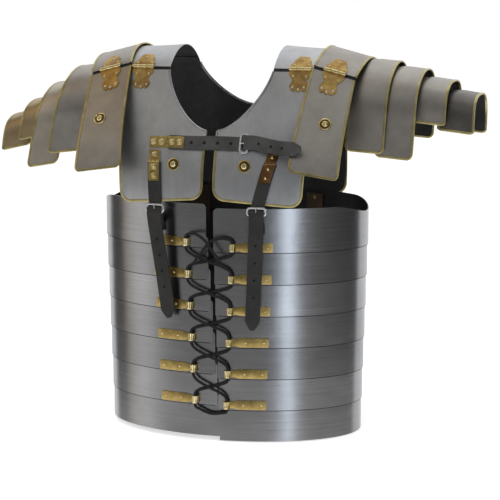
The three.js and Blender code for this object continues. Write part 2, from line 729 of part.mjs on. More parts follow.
function addGuards() {
  for (const [label, side] of sides) {
    const group = new THREE.Group();
    group.position.set(side * guard.innerX, 0, guardTopZ);
    group.rotation.y = side * degToRad(guardTilt);
    model.add(group);
    const centreX = side * (hinge.guardInset + hinge.leafWidth / 2);
    const front = hingeHalves(centreX, guardFront.pin, (x, s) => guardTopFace(x, s - hinge.edgeGap),
      hangingFace(guardFront));
    const rear = hingeHalves(centreX, guardBack.pin,
      (x, s) => guardTopFace(x, archLength(guard) + hinge.edgeGap - s), hangingFace(guardBack));
    const bossPlace = placeOnFace(hangingFace(guardFront), side * boss.guardOffset, boss.guardDrop, -1);
    const plates = {
      top: joined(guardTopGeometry(side), front.fixed, rear.fixed),
      front: joined(hangingGeometry(guardFront, side), front.moving, bossGeometry(bossPlace)),
      back: joined(hangingGeometry(guardBack, side), rear.moving),
    };
    for (const [place, geometry] of Object.entries(plates)) {
      addPiece(`guard_${place}_${label}`, geometry, 'guardSteel', group);
    }
  }
}

// Places and slopes of the lames of one side: each hangs under the outer edge of the one before
function lameChain(label) {
  const slopes = [guardTilt, ...lameSlopes[label]].map(degToRad);
  const edge = new THREE.Vector2(guard.innerX, guardTopZ)
    .add(new THREE.Vector2(Math.cos(slopes[0]), -Math.sin(slopes[0])).multiplyScalar(guard.width));
  return lameSlopes[label].map((_, i) => {
    const [above, slope] = [slopes[i], slopes[i + 1]];
    const gap = seat + lame.overlap * Math.sin(Math.max(0, slope - above));
    edge.add(new THREE.Vector2(-Math.sin(above), -Math.cos(above)).multiplyScalar(steel + gap));
    const place = { x: edge.x, z: edge.y, slope };
    edge.add(new THREE.Vector2(Math.cos(slope), -Math.sin(slope)).multiplyScalar(lame.width - lame.overlap));
    return place;
  });
}

// A lame: an arch over the arm with straight legs, its top sloping outward; origin under the edge above it
function lameGeometry(index, side, slope) {
  const [depth, height] = [lame.halfDepths[index], lame.archHeights[index]];
  const [frontDrop, backDrop] = [lame.frontDrops[index], lame.backDrops[index]];
  const face = (u, v) => {
    const end = v < 1 ? v * frontDrop : (2 - v) * backDrop;
    const inset = cornerInset(end, lame.cornerRadius) / lame.width;
    const along = lerp(-lame.overlap, lame.width - lame.overlap, lerp(inset, 1 - inset, u));
    const [x, topZ] = [along * Math.cos(slope), -along * Math.sin(slope)];
    const turn = Math.PI / 2 * Math.min(1, Math.max(-1, (v - 1) / lameArchShare));
    const springZ = topZ - height * (1 - Math.cos(turn));
    const drop = v < 1 ? frontDrop : backDrop;
    const legShare = Math.max(0, (Math.abs(v - 1) - lameArchShare) / (1 - lameArchShare));
    const footZ = topZ * lameBottomSlopeShare - drop;
    return new THREE.Vector3(side * x, lame.centreY + depth * Math.sin(turn), lerp(springZ, footZ, legShare));
  };
  const archRows = evenShares(16).map((s) => lerp(1 - lameArchShare, 1 + lameArchShare, s));
  const footRows = footRowShares.map((s) => s * lame.cornerRadius);
  const frontRows = footRows.map((d) => d / frontDrop);
  const backRows = footRows.map((d) => 2 - d / backDrop).reverse();
  return sheetSolid(face, evenShares(2), [...frontRows, ...archRows, ...backRows], -side * steel);
}

function addLames() {
  for (const [label, side] of sides) {
    lameChain(label).forEach(({ x, z, slope }, i) => {
      const mesh = addPiece(`lame_${i + 2}_${label}`, lameGeometry(i, side, slope), 'guardSteel');
      mesh.position.set(side * x, 0, z);
    });
  }
}

// Flat frame of a buckle with its window, facing +Z and centred on the origin, its bars across Y
function buckleFrame() {
  const [halfWidth, halfLength] = [buckle.width / 2, buckle.length / 2];
  const outline = rectangle(-halfLength, -halfWidth, halfLength, halfWidth);
  outline.holes.push(rectangle(-halfLength + buckle.bar, -halfWidth + buckle.bar,
    halfLength - buckle.bar, halfWidth - buckle.bar));
  const frame = new THREE.ExtrudeGeometry(outline, { depth: buckle.thickness, bevelEnabled: false });
  return frame.translate(0, 0, -buckle.thickness / 2);
}

// Distances above the face at a buckle: the leather that goes in, the frame, and the leather that comes out
const entryLift = strapSeat;
const frameLift = entryLift + leather + seat + buckle.thickness / 2;
const exitLift = frameLift + buckle.thickness / 2 + strapSeat;

// Strap with its brass fitting on a breast plate, along a straight route on the plate's face
function fittedStrap(face, from, to, width, sizes) {
  const direction = new THREE.Vector2(to[0] - from[0], to[1] - from[1]);
  const length = direction.length();
  direction.normalize();
  const at = (s) => [from[0] + direction.x * s, from[1] + direction.y * s];
  const alongX = Math.abs(direction.x) > Math.abs(direction.y);
  const across = (w) => () => (alongX ? [0, w / 2] : [w / 2, 0]);
  const piece = (start, end, w, steps, layers) =>
    band(face, -1, (v) => at(lerp(start, end, v)), across(w), evenShares(steps), layers);
  const { width: brassWidth, thickness, knuckleRadius, inlay } = strapFitting;
  const knuckleAt = sizes.plateLength + knuckleRadius;
  const leafStart = knuckleAt + knuckleRadius - inlay;
  const top = strapSeat + leather;
  const plate = piece(0, knuckleAt, brassWidth, 2, [strapSeat, strapSeat + thickness]);
  const [u, v] = at(knuckleAt);
  const barrel = new THREE.CylinderGeometry(knuckleRadius, knuckleRadius, brassWidth, barSides);
  const knuckle = (alongX ? barrel : barrel.rotateZ(Math.PI / 2))
    .translate(0, 0, strapSeat + knuckleRadius).applyMatrix4(placeOnFace(face, u, v, -1));
  const leaf = piece(knuckleAt, leafStart + sizes.leafLength, brassWidth, 3, [top - inlay, top + thickness]);
  const strap = piece(leafStart, length, width, sizes.steps, [strapSeat, top]);
  return joined(plate, knuckle, leaf, strap);
}

// Loose end of a strap from its buckle to its tip, along points given from back to front of the buckle
function looseEnd(points, across, tipLength) {
  const curve = new StraightSteps(points);
  const steps = points.length - 1;
  const lastLength = points[steps].distanceTo(points[steps - 1]);
  const tipShare = 1 - tipLength / lastLength / steps;
  const shares = [...evenShares(steps).slice(0, -1), tipShare, lerp(tipShare, 1, tipRowShare), 1];
  const face = (u, v) => {
    const inTip = Math.min(1, Math.max(0, (v - tipShare) / (1 - tipShare)));
    const before = points[0].clone().lerp(points[1], v * steps);
    const beyond = points[steps].clone().lerp(points[steps - 1], (1 - v) * steps);
    const centre = v < 0 ? before : v > 1 ? beyond : curve.getPoint(v);
    return centre.addScaledVector(across, (2 * u - 1) * Math.sqrt(1 - tipNarrowingShare * inTip ** 2));
  };
  return sheetSolid(face, [0, 1], shares, -leather);
}

function addChestStrap() {
  const face = torsoFace(breastPlate);
  const down = breastPlate.start.z - chest.z;
  const entryX = chest.buckleX - buckle.length * buckleTurnShares.entry;
  const exitX = chest.buckleX - buckle.length * buckleTurnShares.exit;
  const slant = leather * buckleTurnShares.slant;
  const strap = fittedStrap(face, [chest.startX, down], [entryX - slant, down], chest.width,
    { plateLength: chest.plateLength, leafLength: chest.leafLength, steps: 10 });
  addPiece('chest_strap', strap, 'leather');
  const turn = [[entryX, entryLift], [exitX, exitLift], [exitX + buckle.length, exitLift + buckle.bar]]
    .map(([x, lift]) => aboveBreast(x, chest.z, lift));
  const points = [...turn, new THREE.Vector3(chest.tipX, breastPlate.bottomY - chest.tipGap, chest.z)];
  const across = face(chest.buckleX, down - chest.width / 2).sub(face(chest.buckleX, down));
  const end = looseEnd(points, across.setLength(chest.width / 2), chest.tipLength);
  addPiece('chest_strap_end', end, 'leather');
}

// Chest buckle on the left breast plate, with the tab that holds it
function chestBuckle() {
  const face = torsoFace(breastPlate);
  const down = breastPlate.start.z - chest.z;
  const place = placeOnFace(face, chest.buckleX, down, -1);
  const frame = buckleFrame().translate(0, 0, frameLift).applyMatrix4(place);
  const barX = chest.buckleX + buckle.length / 2;
  const route = (start, end) => (v) => [lerp(start, end, v), down];
  const half = () => [0, buckle.tabWidth / 2];
  const tab = band(face, -1, route(barX - buckle.bar / 2, barX + chest.tabLength), half, evenShares(3),
    [-steel / 2, buckle.tabThickness]);
  const loop = band(face, -1, route(barX - buckle.bar / 2, barX + buckle.bar), half, [0, 1],
    [-steel / 2, frameLift]);
  return joined(frame, tab, loop);
}

// A place above the breast plates' outer face
function aboveBreast(x, z, lift) {
  const face = torsoFace(breastPlate);
  const down = breastPlate.start.z - z;
  return face(x, down).addScaledVector(outwardNormal(face, x, down, -1), lift);
}

// Buckle frame in front of the breast plate's lower edge, with a tab down to the top hoop
function hangerBuckle(buckleX) {
  const place = placeOnFace(torsoFace(breastPlate), buckleX, breastPlate.start.z - hanger.buckleZ, -1);
  const frame = buckleFrame().rotateZ(Math.PI / 2).translate(0, 0, frameLift).applyMatrix4(place);
  const lowerBarZ = hanger.buckleZ - (buckle.length - buckle.bar) / 2;
  const footZ = lowerBarZ - buckle.tabDrop;
  const bendZ = lerp(lowerBarZ, footZ, tabBendShare);
  const onHoop = (x, z) => hoopFace(0, -1)(x, z).add(new THREE.Vector3(0, -seat, 0));
  const face = (u, v) => {
    const x = buckleX + (u - 1 / 2) * buckle.tabWidth;
    const start = aboveBreast(x, lowerBarZ, frameLift - buckle.thickness / 2);
    return new StraightSteps([start, onHoop(x, bendZ), onHoop(x, footZ)]).getPoint(v);
  };
  return joined(frame, sheetSolid(face, [0, 1], evenShares(2), -buckle.tabThickness));
}

function addHangers() {
  const face = torsoFace(breastPlate);
  const topZ = chest.z - chest.width / 2 - hanger.topGap;
  const entryZ = hanger.buckleZ + buckle.length * buckleTurnShares.entry;
  const exitZ = hanger.buckleZ + buckle.length * buckleTurnShares.exit;
  const beyondZ = exitZ - buckle.length;
  const slant = leather * buckleTurnShares.slant;
  const downAt = (z) => breastPlate.start.z - z;
  for (const [label] of sides) {
    const { topX, buckleX, tipX, tipZ } = hanger[label];
    const strap = fittedStrap(face, [topX, downAt(topZ)], [buckleX, downAt(entryZ + slant)], hanger.width,
      { plateLength: hanger.plateLength, leafLength: hanger.leafLength, steps: 7 });
    addPiece(`hanger_strap_${label}`, strap, 'leather');
    const turn = [[entryZ, entryLift], [exitZ, exitLift], [beyondZ, exitLift]]
      .map(([z, lift]) => aboveBreast(buckleX, z, lift));
    const tip = turn[2].clone().setX(tipX).setZ(tipZ);
    const across = face(buckleX + hanger.tailWidth / 2, downAt(exitZ)).sub(face(buckleX, downAt(exitZ)));
    const tail = looseEnd([...turn, tip], across.setLength(hanger.tailWidth / 2), hanger.tipLength);
    addPiece(`strap_tail_${label}`, tail, 'leather');
    addPiece(`hanger_buckle_${label}`, hangerBuckle(buckleX), 'nickel');
  }
}

addHoops();
addTieFittings();
addCollarAndTorsoPlates();
addGuards();
addLames();
addInnerLeathers();
addLaces();
addChestStrap();
addHangers();

export default model;
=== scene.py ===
import math

import bpy
import numpy as np
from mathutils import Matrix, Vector


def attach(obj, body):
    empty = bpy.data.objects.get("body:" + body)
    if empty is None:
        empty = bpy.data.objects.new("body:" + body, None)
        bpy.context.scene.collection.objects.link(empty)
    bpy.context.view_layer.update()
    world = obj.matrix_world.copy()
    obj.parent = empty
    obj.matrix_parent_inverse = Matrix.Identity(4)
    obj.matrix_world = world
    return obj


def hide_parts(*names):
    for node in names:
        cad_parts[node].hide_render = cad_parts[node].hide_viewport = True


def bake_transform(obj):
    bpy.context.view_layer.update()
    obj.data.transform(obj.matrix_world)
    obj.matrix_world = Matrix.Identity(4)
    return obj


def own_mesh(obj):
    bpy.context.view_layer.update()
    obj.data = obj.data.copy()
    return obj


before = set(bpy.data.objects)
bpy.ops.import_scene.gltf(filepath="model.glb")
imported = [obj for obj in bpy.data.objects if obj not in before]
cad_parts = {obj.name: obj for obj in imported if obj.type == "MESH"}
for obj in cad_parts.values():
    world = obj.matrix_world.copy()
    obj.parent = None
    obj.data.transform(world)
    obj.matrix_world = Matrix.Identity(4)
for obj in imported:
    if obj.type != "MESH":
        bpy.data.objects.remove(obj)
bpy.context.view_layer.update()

# Sizes are in millimetres and repeat the CAD's; meshes are written in metres
MM = 0.001
SIDES = (("left", 1), ("right", -1))
STEEL, LEATHER = 1.2, 2.4
# Gaps under the brass fittings and under the straps, and the height of a strap's outer face
SEAT, STRAP_SEAT = 0.3, 0.75
STRAP_TOP = STRAP_SEAT + LEATHER
FRONT, UP = (0, -1, 0), (0, 0, 1)
WHITE = (1, 1, 1, 1)

# The camera that was fitted to the photograph; its lens is given in the picture's pixels
AZIMUTH, PITCH, DISTANCE = math.radians(16.3), math.radians(9.0), 2.945
SIDE_SHIFT, TARGET_HEIGHT = 0.021, -0.3087
SENSOR_WIDTH, LENS_PIXELS, PICTURE_PIXELS = 36, 1920, 500


def lerp(a, b, t):
    return a + (b - a) * t


def even(steps):
    return np.linspace(0, 1, steps + 1)


def around(count):
    return np.arange(count) * 2 * math.pi / count


def point(x, y, z):
    return np.stack(np.broadcast_arrays(x, y, z), -1).astype(float)


def unit(v):
    return v / np.maximum(np.linalg.norm(v, axis=-1, keepdims=True), 1e-9)


def place_camera():
    right = Vector((math.cos(AZIMUTH), math.sin(AZIMUTH), 0))
    level = Vector((-math.sin(AZIMUTH), math.cos(AZIMUTH), 0))
    forward = level * math.cos(PITCH) - Vector(UP) * math.sin(PITCH)
    data = bpy.data.cameras.new("camera")
    data.sensor_width = SENSOR_WIDTH
    data.sensor_fit = "HORIZONTAL"
    data.lens = SENSOR_WIDTH * LENS_PIXELS / PICTURE_PIXELS
    data.clip_end = 50
    camera = bpy.data.objects.new("camera", data)
    camera.location = right * SIDE_SHIFT + Vector((0, 0, TARGET_HEIGHT)) - forward * DISTANCE
    camera.rotation_euler = forward.to_track_quat("-Z", "Y").to_euler()
    bpy.context.scene.collection.objects.link(camera)
    bpy.context.scene.camera = camera


place_camera()


# Materials

class Tree:
    """Short calls for a node tree."""

    def __init__(self, tree):
        self.tree = tree

    def feed(self, sockets, *values):
        """Link each socket to its source, or set its constant."""
        for socket, value in zip(sockets, values):
            if isinstance(value, bpy.types.NodeSocket):
                self.tree.links.new(value, socket)
            else:
                socket.default_value = value

    def feed_named(self, node, inputs):
        self.feed([node.inputs[name.replace("_", " ")] for name in inputs], *inputs.values())
        return node

    def add(self, kind, **inputs):
        return self.feed_named(self.tree.nodes.new("ShaderNode" + kind), inputs)

    def math(self, operation, a, b):
        node = self.add("Math")
        node.operation = operation
        self.feed(node.inputs, a, b)
        return node.outputs[0]


class Nodes(Tree):
    """Short calls for one material's node tree."""

    def __init__(self, name):
        self.material = bpy.data.materials.new(name)
        self.material.use_nodes = True
        super().__init__(self.material.node_tree)
        self.bsdf = self.tree.nodes["Principled BSDF"]
        coordinates = self.add("TexCoord").outputs
        self.place, self.uv = coordinates["Object"], coordinates["UV"]

    def set(self, **inputs):
        self.feed_named(self.bsdf, inputs)

    def surface(self, shader):
        self.feed_named(self.tree.nodes["Material Output"], {"Surface": shader})

    def weighted(self, a, b, share):
        return self.math("ADD", self.math("MULTIPLY", a, 1 - share), self.math("MULTIPLY", b, share))

    def stretched(self, scale, source=None):
        return self.add("Mapping", Scale=scale, Vector=source or self.place).outputs[0]

    def noise(self, scale, detail=4.0, rough=0.55, source=None, distortion=0.0):
        return self.add("TexNoise", Scale=scale, Detail=detail, Roughness=rough, Distortion=distortion,
                        Vector=source or self.place).outputs["Fac"]

    def ramp(self, fac, stops):
        node = self.add("ValToRGB", Fac=fac)
        elements = node.color_ramp.elements
        while len(elements) < len(stops):
            elements.new(0.5)
        for element, (at, value) in zip(elements, stops):
            element.position = at
            element.color = (value, value, value, 1) if np.isscalar(value) else (*value, 1)
        return node.outputs["Color"]

    def mix(self, fac, a, b):
        node = self.add("Mix")
        node.data_type = "RGBA"
        used = {s.name: s for s in node.inputs if s.enabled}
        colours = [(*value, 1) if isinstance(value, tuple) else value for value in (a, b)]
        self.feed((used["Factor"], used["A"], used["B"]), fac, *colours)
        return [s for s in node.outputs if s.enabled][0]

    def range(self, fac, low, high):
        return self.add("MapRange", Value=fac, To_Min=low, To_Max=high).outputs[0]

    def bump(self, height, distance, strength=1.0, after=None):
        node = self.add("Bump", Strength=strength, Distance=distance, Height=height)
        if after is not None:
            self.feed_named(node, {"Normal": after})
        self.set(Normal=node.outputs["Normal"])
        return node.outputs["Normal"]


def metal(name, dark, light, rough, brush, blotch, streaks, dent=0.0, shift=0.0):
    """Metal: two tones mixed by blotches, brushed along one direction, with fine scratches and soft dents."""
    n = Nodes(name)
    brush = (brush,) * 3 if np.isscalar(brush) else brush
    if shift:
        n.place = n.add("Mapping", Location=(shift, 2 * shift, 3 * shift), Vector=n.place).outputs[0]
    cloud = n.noise(blotch, 5, 0.6)
    streak = n.noise(1, 6, 0.7, n.stretched(brush))
    tone = n.ramp(n.weighted(cloud, streak, streaks), [(0.32, 0.0), (0.68, 1.0)])
    fine = n.noise(1, 3, 0.6, n.stretched(tuple(4 * s for s in brush)))
    spread = n.weighted(streak, fine, 0.4)
    n.set(Base_Color=n.mix(tone, dark, light), Roughness=n.range(spread, *rough), Metallic=1.0)
    normal = n.bump(spread, 0.00006, 0.5)
    if dent:
        n.bump(n.noise(9, 2, 0.5), dent, 1.0, normal)
    return n.material


def leather(name, dark, light, rough=(0.42, 0.62)):
    """Leather: pores and creases under a soft finish."""
    n = Nodes(name)
    grain = n.add("TexVoronoi", Scale=900, Vector=n.place).outputs["Distance"]
    crease = n.noise(140, 6, 0.65, distortion=0.6)
    tone = n.ramp(n.noise(25, 4, 0.6), [(0.3, 0.0), (0.75, 1.0)])
    n.set(Base_Color=n.mix(tone, dark, light), Roughness=n.range(crease, *rough), Metallic=0.0, Specular_IOR_Level=0.3)
    n.bump(n.weighted(grain, crease, 0.65), 0.0005, 0.6)
    return n.material


def braided(name, dark, light):
    """Cord: two crossing braids along its length."""
    n = Nodes(name)
    waves = []
    for slant in (1, -1):
        node = n.add("TexWave", Scale=1.0, Distortion=0.4, Vector=n.stretched((900, 6.0 * slant, 1), n.uv))
        node.bands_direction = "DIAGONAL"
        waves.append(node.outputs["Fac"])
    braid = n.math("MAXIMUM", *waves)
    n.set(Base_Color=n.mix(braid, dark, light), Roughness=0.78, Metallic=0.0, Specular_IOR_Level=0.2)
    n.bump(n.math("ADD", braid, n.math("MULTIPLY", n.noise(1500, 2), 0.4)), 0.0004, 0.7)
    return n.material


def black_inside_and_gap_shade():
    """Blackened inner face of the plates, also used for the painted shade strips behind the hinge gaps: dull scale
    with paler rubbed places.
    """
    n = Nodes("black_inside_and_gap_shade")
    rubbed = n.ramp(n.noise(16, 6, 0.65), [(0.45, 0.0), (0.85, 1.0)])
    n.set(Base_Color=n.mix(rubbed, (0.006, 0.006, 0.007), (0.030, 0.029, 0.028)),
          Roughness=n.range(n.noise(90, 4), 0.55, 0.85), Metallic=0.0)
    n.bump(n.noise(220, 4), 0.0003, 0.5)
    return n.material


# Darker and lighter tone, roughness, brushing, size of blotches, share of streaks, depth of dents
GUARD_FINISH = ((0.36, 0.48), 70, 12, 0.35, 0.0005)
METALS = {
    "plate_steel": ((0.40, 0.415, 0.44), (0.66, 0.67, 0.685), (0.36, 0.52), (90, 90, 20), 9, 0.3, 0.0008),
    "guard_steel": ((0.33, 0.31, 0.285), (0.50, 0.475, 0.44), *GUARD_FINISH),
    "lame_pale": ((0.42, 0.385, 0.33), (0.62, 0.57, 0.49), *GUARD_FINISH),
    "lame_tan": ((0.37, 0.28, 0.165), (0.55, 0.43, 0.26), *GUARD_FINISH),
    # A darker copy of the lame steel: painted shade for a lame that points away from the light
    "lame_painted_shade": ((0.13, 0.122, 0.112), (0.22, 0.21, 0.195), *GUARD_FINISH),
    "rim_steel": ((0.32, 0.33, 0.34), (0.50, 0.51, 0.52), (0.18, 0.30), (30, 30, 300), 40, 0.3),
    "trim_brass": ((0.34, 0.29, 0.12), (0.62, 0.54, 0.27), (0.28, 0.45), 80, 60, 0.4),
    "strip_brass": ((0.30, 0.21, 0.065), (0.68, 0.52, 0.20), (0.28, 0.46), 120, 70, 0.4),
    "hinge_brass": ((0.26, 0.135, 0.045), (0.66, 0.47, 0.17), (0.28, 0.44), 120, 75, 0.3),
    "bright_brass": ((0.60, 0.48, 0.20), (0.92, 0.80, 0.46), (0.14, 0.26), 100, 90, 0.3),
    "copper_brass": ((0.14, 0.07, 0.028), (0.32, 0.18, 0.075), (0.28, 0.44), 120, 80, 0.4),
    "groove_brass": ((0.09, 0.06, 0.025), (0.22, 0.155, 0.06), (0.35, 0.5), 120, 80, 0.4),
    "rivet_steel": ((0.60, 0.58, 0.52), (0.85, 0.83, 0.77), (0.15, 0.25), 100, 90, 0.3),
    "buckle_steel": ((0.55, 0.56, 0.57), (0.80, 0.81, 0.82), (0.12, 0.24), 100, 60, 0.3),
}
LEATHERS = {
    "black_leather": ((0.010, 0.010, 0.010), (0.026, 0.025, 0.024)),
    # The second is a lighter copy of the black leather: painted sheen for the chest strap, which faces up
    "painted_sheen_leather": ((0.022, 0.022, 0.022), (0.060, 0.059, 0.057)),
    "brown_leather": ((0.020, 0.013, 0.009), (0.060, 0.038, 0.024)),
    # The last entry is no leather but near-black painted shade, for strap holes, the ends of the tie tubes and the
    # line under each hoop
    "painted_shade_black": ((0.002, 0.002, 0.002), (0.006, 0.005, 0.005), (0.7, 0.9)),
}
# Every hoop has its own brightness and its own place in the blotches
HOOP_TONES = (1.0, 0.88, 1.06, 0.93, 0.86, 1.02, 0.95)
HOOP_SHADES = ((0.29, 0.295, 0.305), (0.43, 0.435, 0.45))
HOOP_FINISH = ((0.19, 0.29), (5, 5, 620), 7, 0.42, 0.0010)

MATERIALS = {name: metal(name, *values) for name, values in METALS.items()}
MATERIALS.update({name: leather(name, *values) for name, values in LEATHERS.items()})
MATERIALS["lace_cord"] = braided("lace_cord", (0.004, 0.004, 0.005), (0.022, 0.022, 0.024))
MATERIALS["black_inside_and_gap_shade"] = black_inside_and_gap_shade()
for number, tone in enumerate(HOOP_TONES, 1):
    shades = [tuple(c * tone for c in shade) for shade in HOOP_SHADES]
    MATERIALS[f"hoop_steel_{number}"] = metal(f"hoop_steel_{number}", *shades, *HOOP_FINISH, 0.31 * number)


# Mesh making

EDGE_BEVEL, SHARP_ANGLE, BEVEL_ANGLE = 0.3, math.radians(38), math.radians(40)


class Piece:
    """Collects faces; every part brings its own material."""

    def __init__(self, name):
        self.name, self.count = name, 0
        self.verts, self.faces, self.uvs, self.looks, self.slots = [], [], [], [], []

    def add(self, verts, faces, look, uvs=None):
        if look not in self.looks:
            self.looks.append(look)
        self.verts.append(verts)
        self.uvs.append(np.zeros((len(verts), 2)) if uvs is None else uvs)
        self.faces.extend([tuple(i + self.count for i in f) for f in faces])
        self.slots.extend([self.looks.index(look)] * len(faces))
        self.count += len(verts)

    def done(self, body, *nodes, slot, bevel=0.0):
        """The object; one without a body is attached to none."""
        mesh = bpy.data.meshes.new(self.name)
        mesh.from_pydata((np.concatenate(self.verts) * MM).tolist(), [], self.faces)
        for look in self.looks:
            mesh.materials.append(MATERIALS[look])
        mesh.polygons.foreach_set("material_index", self.slots)
        mesh.polygons.foreach_set("use_smooth", [True] * len(self.faces))
        layer = mesh.uv_layers.new(name="UVMap")
        corners = np.zeros(len(mesh.loops), int)
        mesh.loops.foreach_get("vertex_index", corners)
        layer.data.foreach_set("uv", np.concatenate(self.uvs)[corners].ravel())
        mesh.validate()
        obj = bpy.data.objects.new(self.name, mesh)
        bpy.context.scene.collection.objects.link(obj)
        if bevel:
            modifier = obj.modifiers.new("bevel", "BEVEL")
            modifier.width, modifier.segments = bevel * MM, 2
            modifier.limit_method, modifier.angle_limit = "ANGLE", BEVEL_ANGLE
            bpy.context.view_layer.update()
            rounded = bpy.data.meshes.new_from_object(obj.evaluated_get(bpy.context.evaluated_depsgraph_get()))
            obj.modifiers.clear()
            obj.data = rounded
        obj.data.set_sharp_from_angle(angle=SHARP_ANGLE)
        if body:
            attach(obj, body)
        if nodes:
            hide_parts(*nodes)
        return obj


def spot(face, a, b):
    return face(np.array([float(a)]), np.array([float(b)]))[0]


def normals(face, a, b, step=1e-3, centre=None, out=None):
    """Unit normals of a face at its (a, b) places, pointing away from a centre or along a direction."""
    n = unit(np.cross(face(a + step, b) - face(a - step, b), face(a, b + step) - face(a, b - step)))
    away = face(a, b) - np.array(centre, float) if out is None else np.array(out, float)
    return n * np.sign(np.median(np.sum(n * away, -1)))


def on_face(face, a, b, out=FRONT):
    """Place and outward normal on a face."""
    a, b = np.array([float(a)]), np.array([float(b)])
    return face(a, b)[0], normals(face, a, b, out=out)[0]


def lifted(face, height, out):
    return lambda a, b: face(a, b) + normals(face, a, b, 1e-2, out=out) * height


def grid_faces(rows, cols, flip=False, wrap=False):
    faces = []
    for i in range(rows - 1):
        for j in range(cols if wrap else cols - 1):
            k = (j + 1) % cols
            quad = (i * cols + j, i * cols + k, (i + 1) * cols + k, (i + 1) * cols + j)
            faces.append(quad[::-1] if flip else quad)
    return faces


def sheet(piece, face, us, vs, outer, inner="black_inside_and_gap_shade", rim=None, thickness=STEEL, **towards):
    """Bent sheet with its outer face on the given face and its thickness behind it."""
    us, vs = np.asarray(us, float), np.asarray(vs, float)
    u, v = np.meshgrid(us, vs, indexing="ij")
    front = face(u, v)
    n = normals(face, u, v, **towards)
    behind = front - n * thickness
    rows, cols = len(us), len(vs)
    i, j = rows // 2, cols // 2
    local = np.cross(front[min(i + 1, rows - 1), j] - front[i - 1, j],
                     front[i, min(j + 1, cols - 1)] - front[i, j - 1])
    # Rows run along u, so an unturned quad of the grid faces along v x u
    flip = (local @ n[i, j]) > 0
    front, behind = front.reshape(-1, 3), behind.reshape(-1, 3)
    piece.add(front, grid_faces(rows, cols, flip=flip), outer)
    piece.add(behind, grid_faces(rows, cols, flip=not flip), inner)
    at = np.arange(rows * cols).reshape(rows, cols)
    ring = [*at[0], *at[1:, -1], *at[-1, -2::-1], *at[-2:0:-1, 0]]
    m = len(ring)
    quads = [(k, (k + 1) % m, m + (k + 1) % m, m + k) for k in range(m)]
    piece.add(np.concatenate([front[ring], behind[ring]]), quads if flip else [q[::-1] for q in quads], rim or outer)


def plate(node, body, face, us, vs, slot, look=None, **towards):
    """A steel sheet as a piece of its own, in the place of a CAD node."""
    piece = Piece(f"{node}_steel")
    sheet(piece, face, us, vs, look or slot, **towards)
    piece.done(body, node, slot=slot, bevel=EDGE_BEVEL)


def sweep(piece, centres, across, up, profile, look, closed=False, scale=None, length_uv=False):
    """A section, given as (across, up) pairs, carried along stations."""
    centres, across, up = np.asarray(centres), np.asarray(across), np.asarray(up)
    profile = np.asarray(profile, float)
    scale = np.ones((len(centres), 2)) if scale is None else np.asarray(scale)
    sections = (centres[:, None, :] + across[:, None, :] * (profile[None, :, :1] * scale[:, None, :1])
                + up[:, None, :] * (profile[None, :, 1:] * scale[:, None, 1:]))
    rows, cols = sections.shape[:2]
    along = np.cross(across[0], up[0]) @ (centres[min(1, rows - 1)] - centres[0])
    area = np.sum(profile[:, 0] * np.roll(profile[:, 1], -1) - np.roll(profile[:, 0], -1) * profile[:, 1])
    flip = (along > 0) == (area > 0)
    faces = grid_faces(rows, cols, wrap=True, flip=flip)
    if closed:
        last = (rows - 1) * cols
        extra = [(last + j, last + (j + 1) % cols, (j + 1) % cols, j) for j in range(cols)]
    else:
        extra = [tuple(range(cols))[::-1], tuple(range((rows - 1) * cols, rows * cols))]
    faces += [f[::-1] for f in extra] if flip else extra
    uvs = None
    if length_uv:
        uvs = np.stack([np.repeat(reach_of(centres) * MM, cols), np.tile(np.linspace(0, 1, cols), rows)], -1)
    piece.add(sections.reshape(-1, 3), faces, look, uvs)


def reach_of(line):
    """Distance along a line to each of its points."""
    return np.concatenate([[0], np.cumsum(np.linalg.norm(np.diff(line, axis=0), axis=1))])


def ribbon(piece, line, side, half_width, half_height, corner, look):
    """A flat band along a line, as wide as twice its half width along the side direction."""
    sides = np.tile(side, (len(line), 1))
    up = unit(np.cross(unit(np.gradient(line, axis=0)), sides))
    sweep(piece, line, sides, up, rounded_box(half_width, half_height, corner, 2), look)


def circle(radius, count):
    return np.stack([np.cos(around(count)) * radius, np.sin(around(count)) * radius], -1)


def rounded_box(half_width, half_height, corner, count=3):
    points = []
    for cx, cy, start in ((1, 1, 0), (-1, 1, 90), (-1, -1, 180), (1, -1, 270)):
        for k in range(count + 1):
            a = math.radians(start + 90 * k / count)
            points.append((cx * (half_width - corner) + corner * math.cos(a),
                           cy * (half_height - corner) + corner * math.sin(a)))
    return np.array(points)


def smooth_path(points, per=6):
    """Catmull-Rom line through the points."""
    p = np.asarray(points, float)
    p = np.concatenate([[2 * p[0] - p[1]], p, [2 * p[-1] - p[-2]]])
    line = []
    for a, b, c, d in zip(p[:-3], p[1:-2], p[2:-1], p[3:]):
        for t in np.arange(per) / per:
            line.append(0.5 * (2 * b + (c - a) * t + (2 * a - 5 * b + 4 * c - d) * t * t
                               + (3 * b - a - 3 * c + d) * t ** 3))
    return np.array([*line, p[-2]])


def tangents(line, closed=False):
    return unit(np.roll(line, -1, 0) - np.roll(line, 1, 0) if closed else np.gradient(line, axis=0))


def tube(piece, line, radius, look, sides=12, closed=False):
    """Round section along a line, with a frame that turns as little as it can."""
    line = np.asarray(line, float)
    tangent = tangents(line, closed)
    side = np.cross(tangent[0], [0.0, -1.0, 0.0])
    if np.linalg.norm(side) < 0.2:
        side = np.cross(tangent[0], [0.0, 0.0, 1.0])
    across = []
    for t in tangent:
        side = side - t * (side @ t)
        side = side / np.linalg.norm(side)
        across.append(side)
    across = np.array(across)
    sweep(piece, line, across, np.cross(tangent, across), circle(radius, sides), look, closed, length_uv=True)


def ring_of(axis, side, count):
    """Unit circle about an axis, from a side direction on."""
    turn = around(count)[:, None]
    return np.cos(turn) * side + np.sin(turn) * np.cross(axis, side)


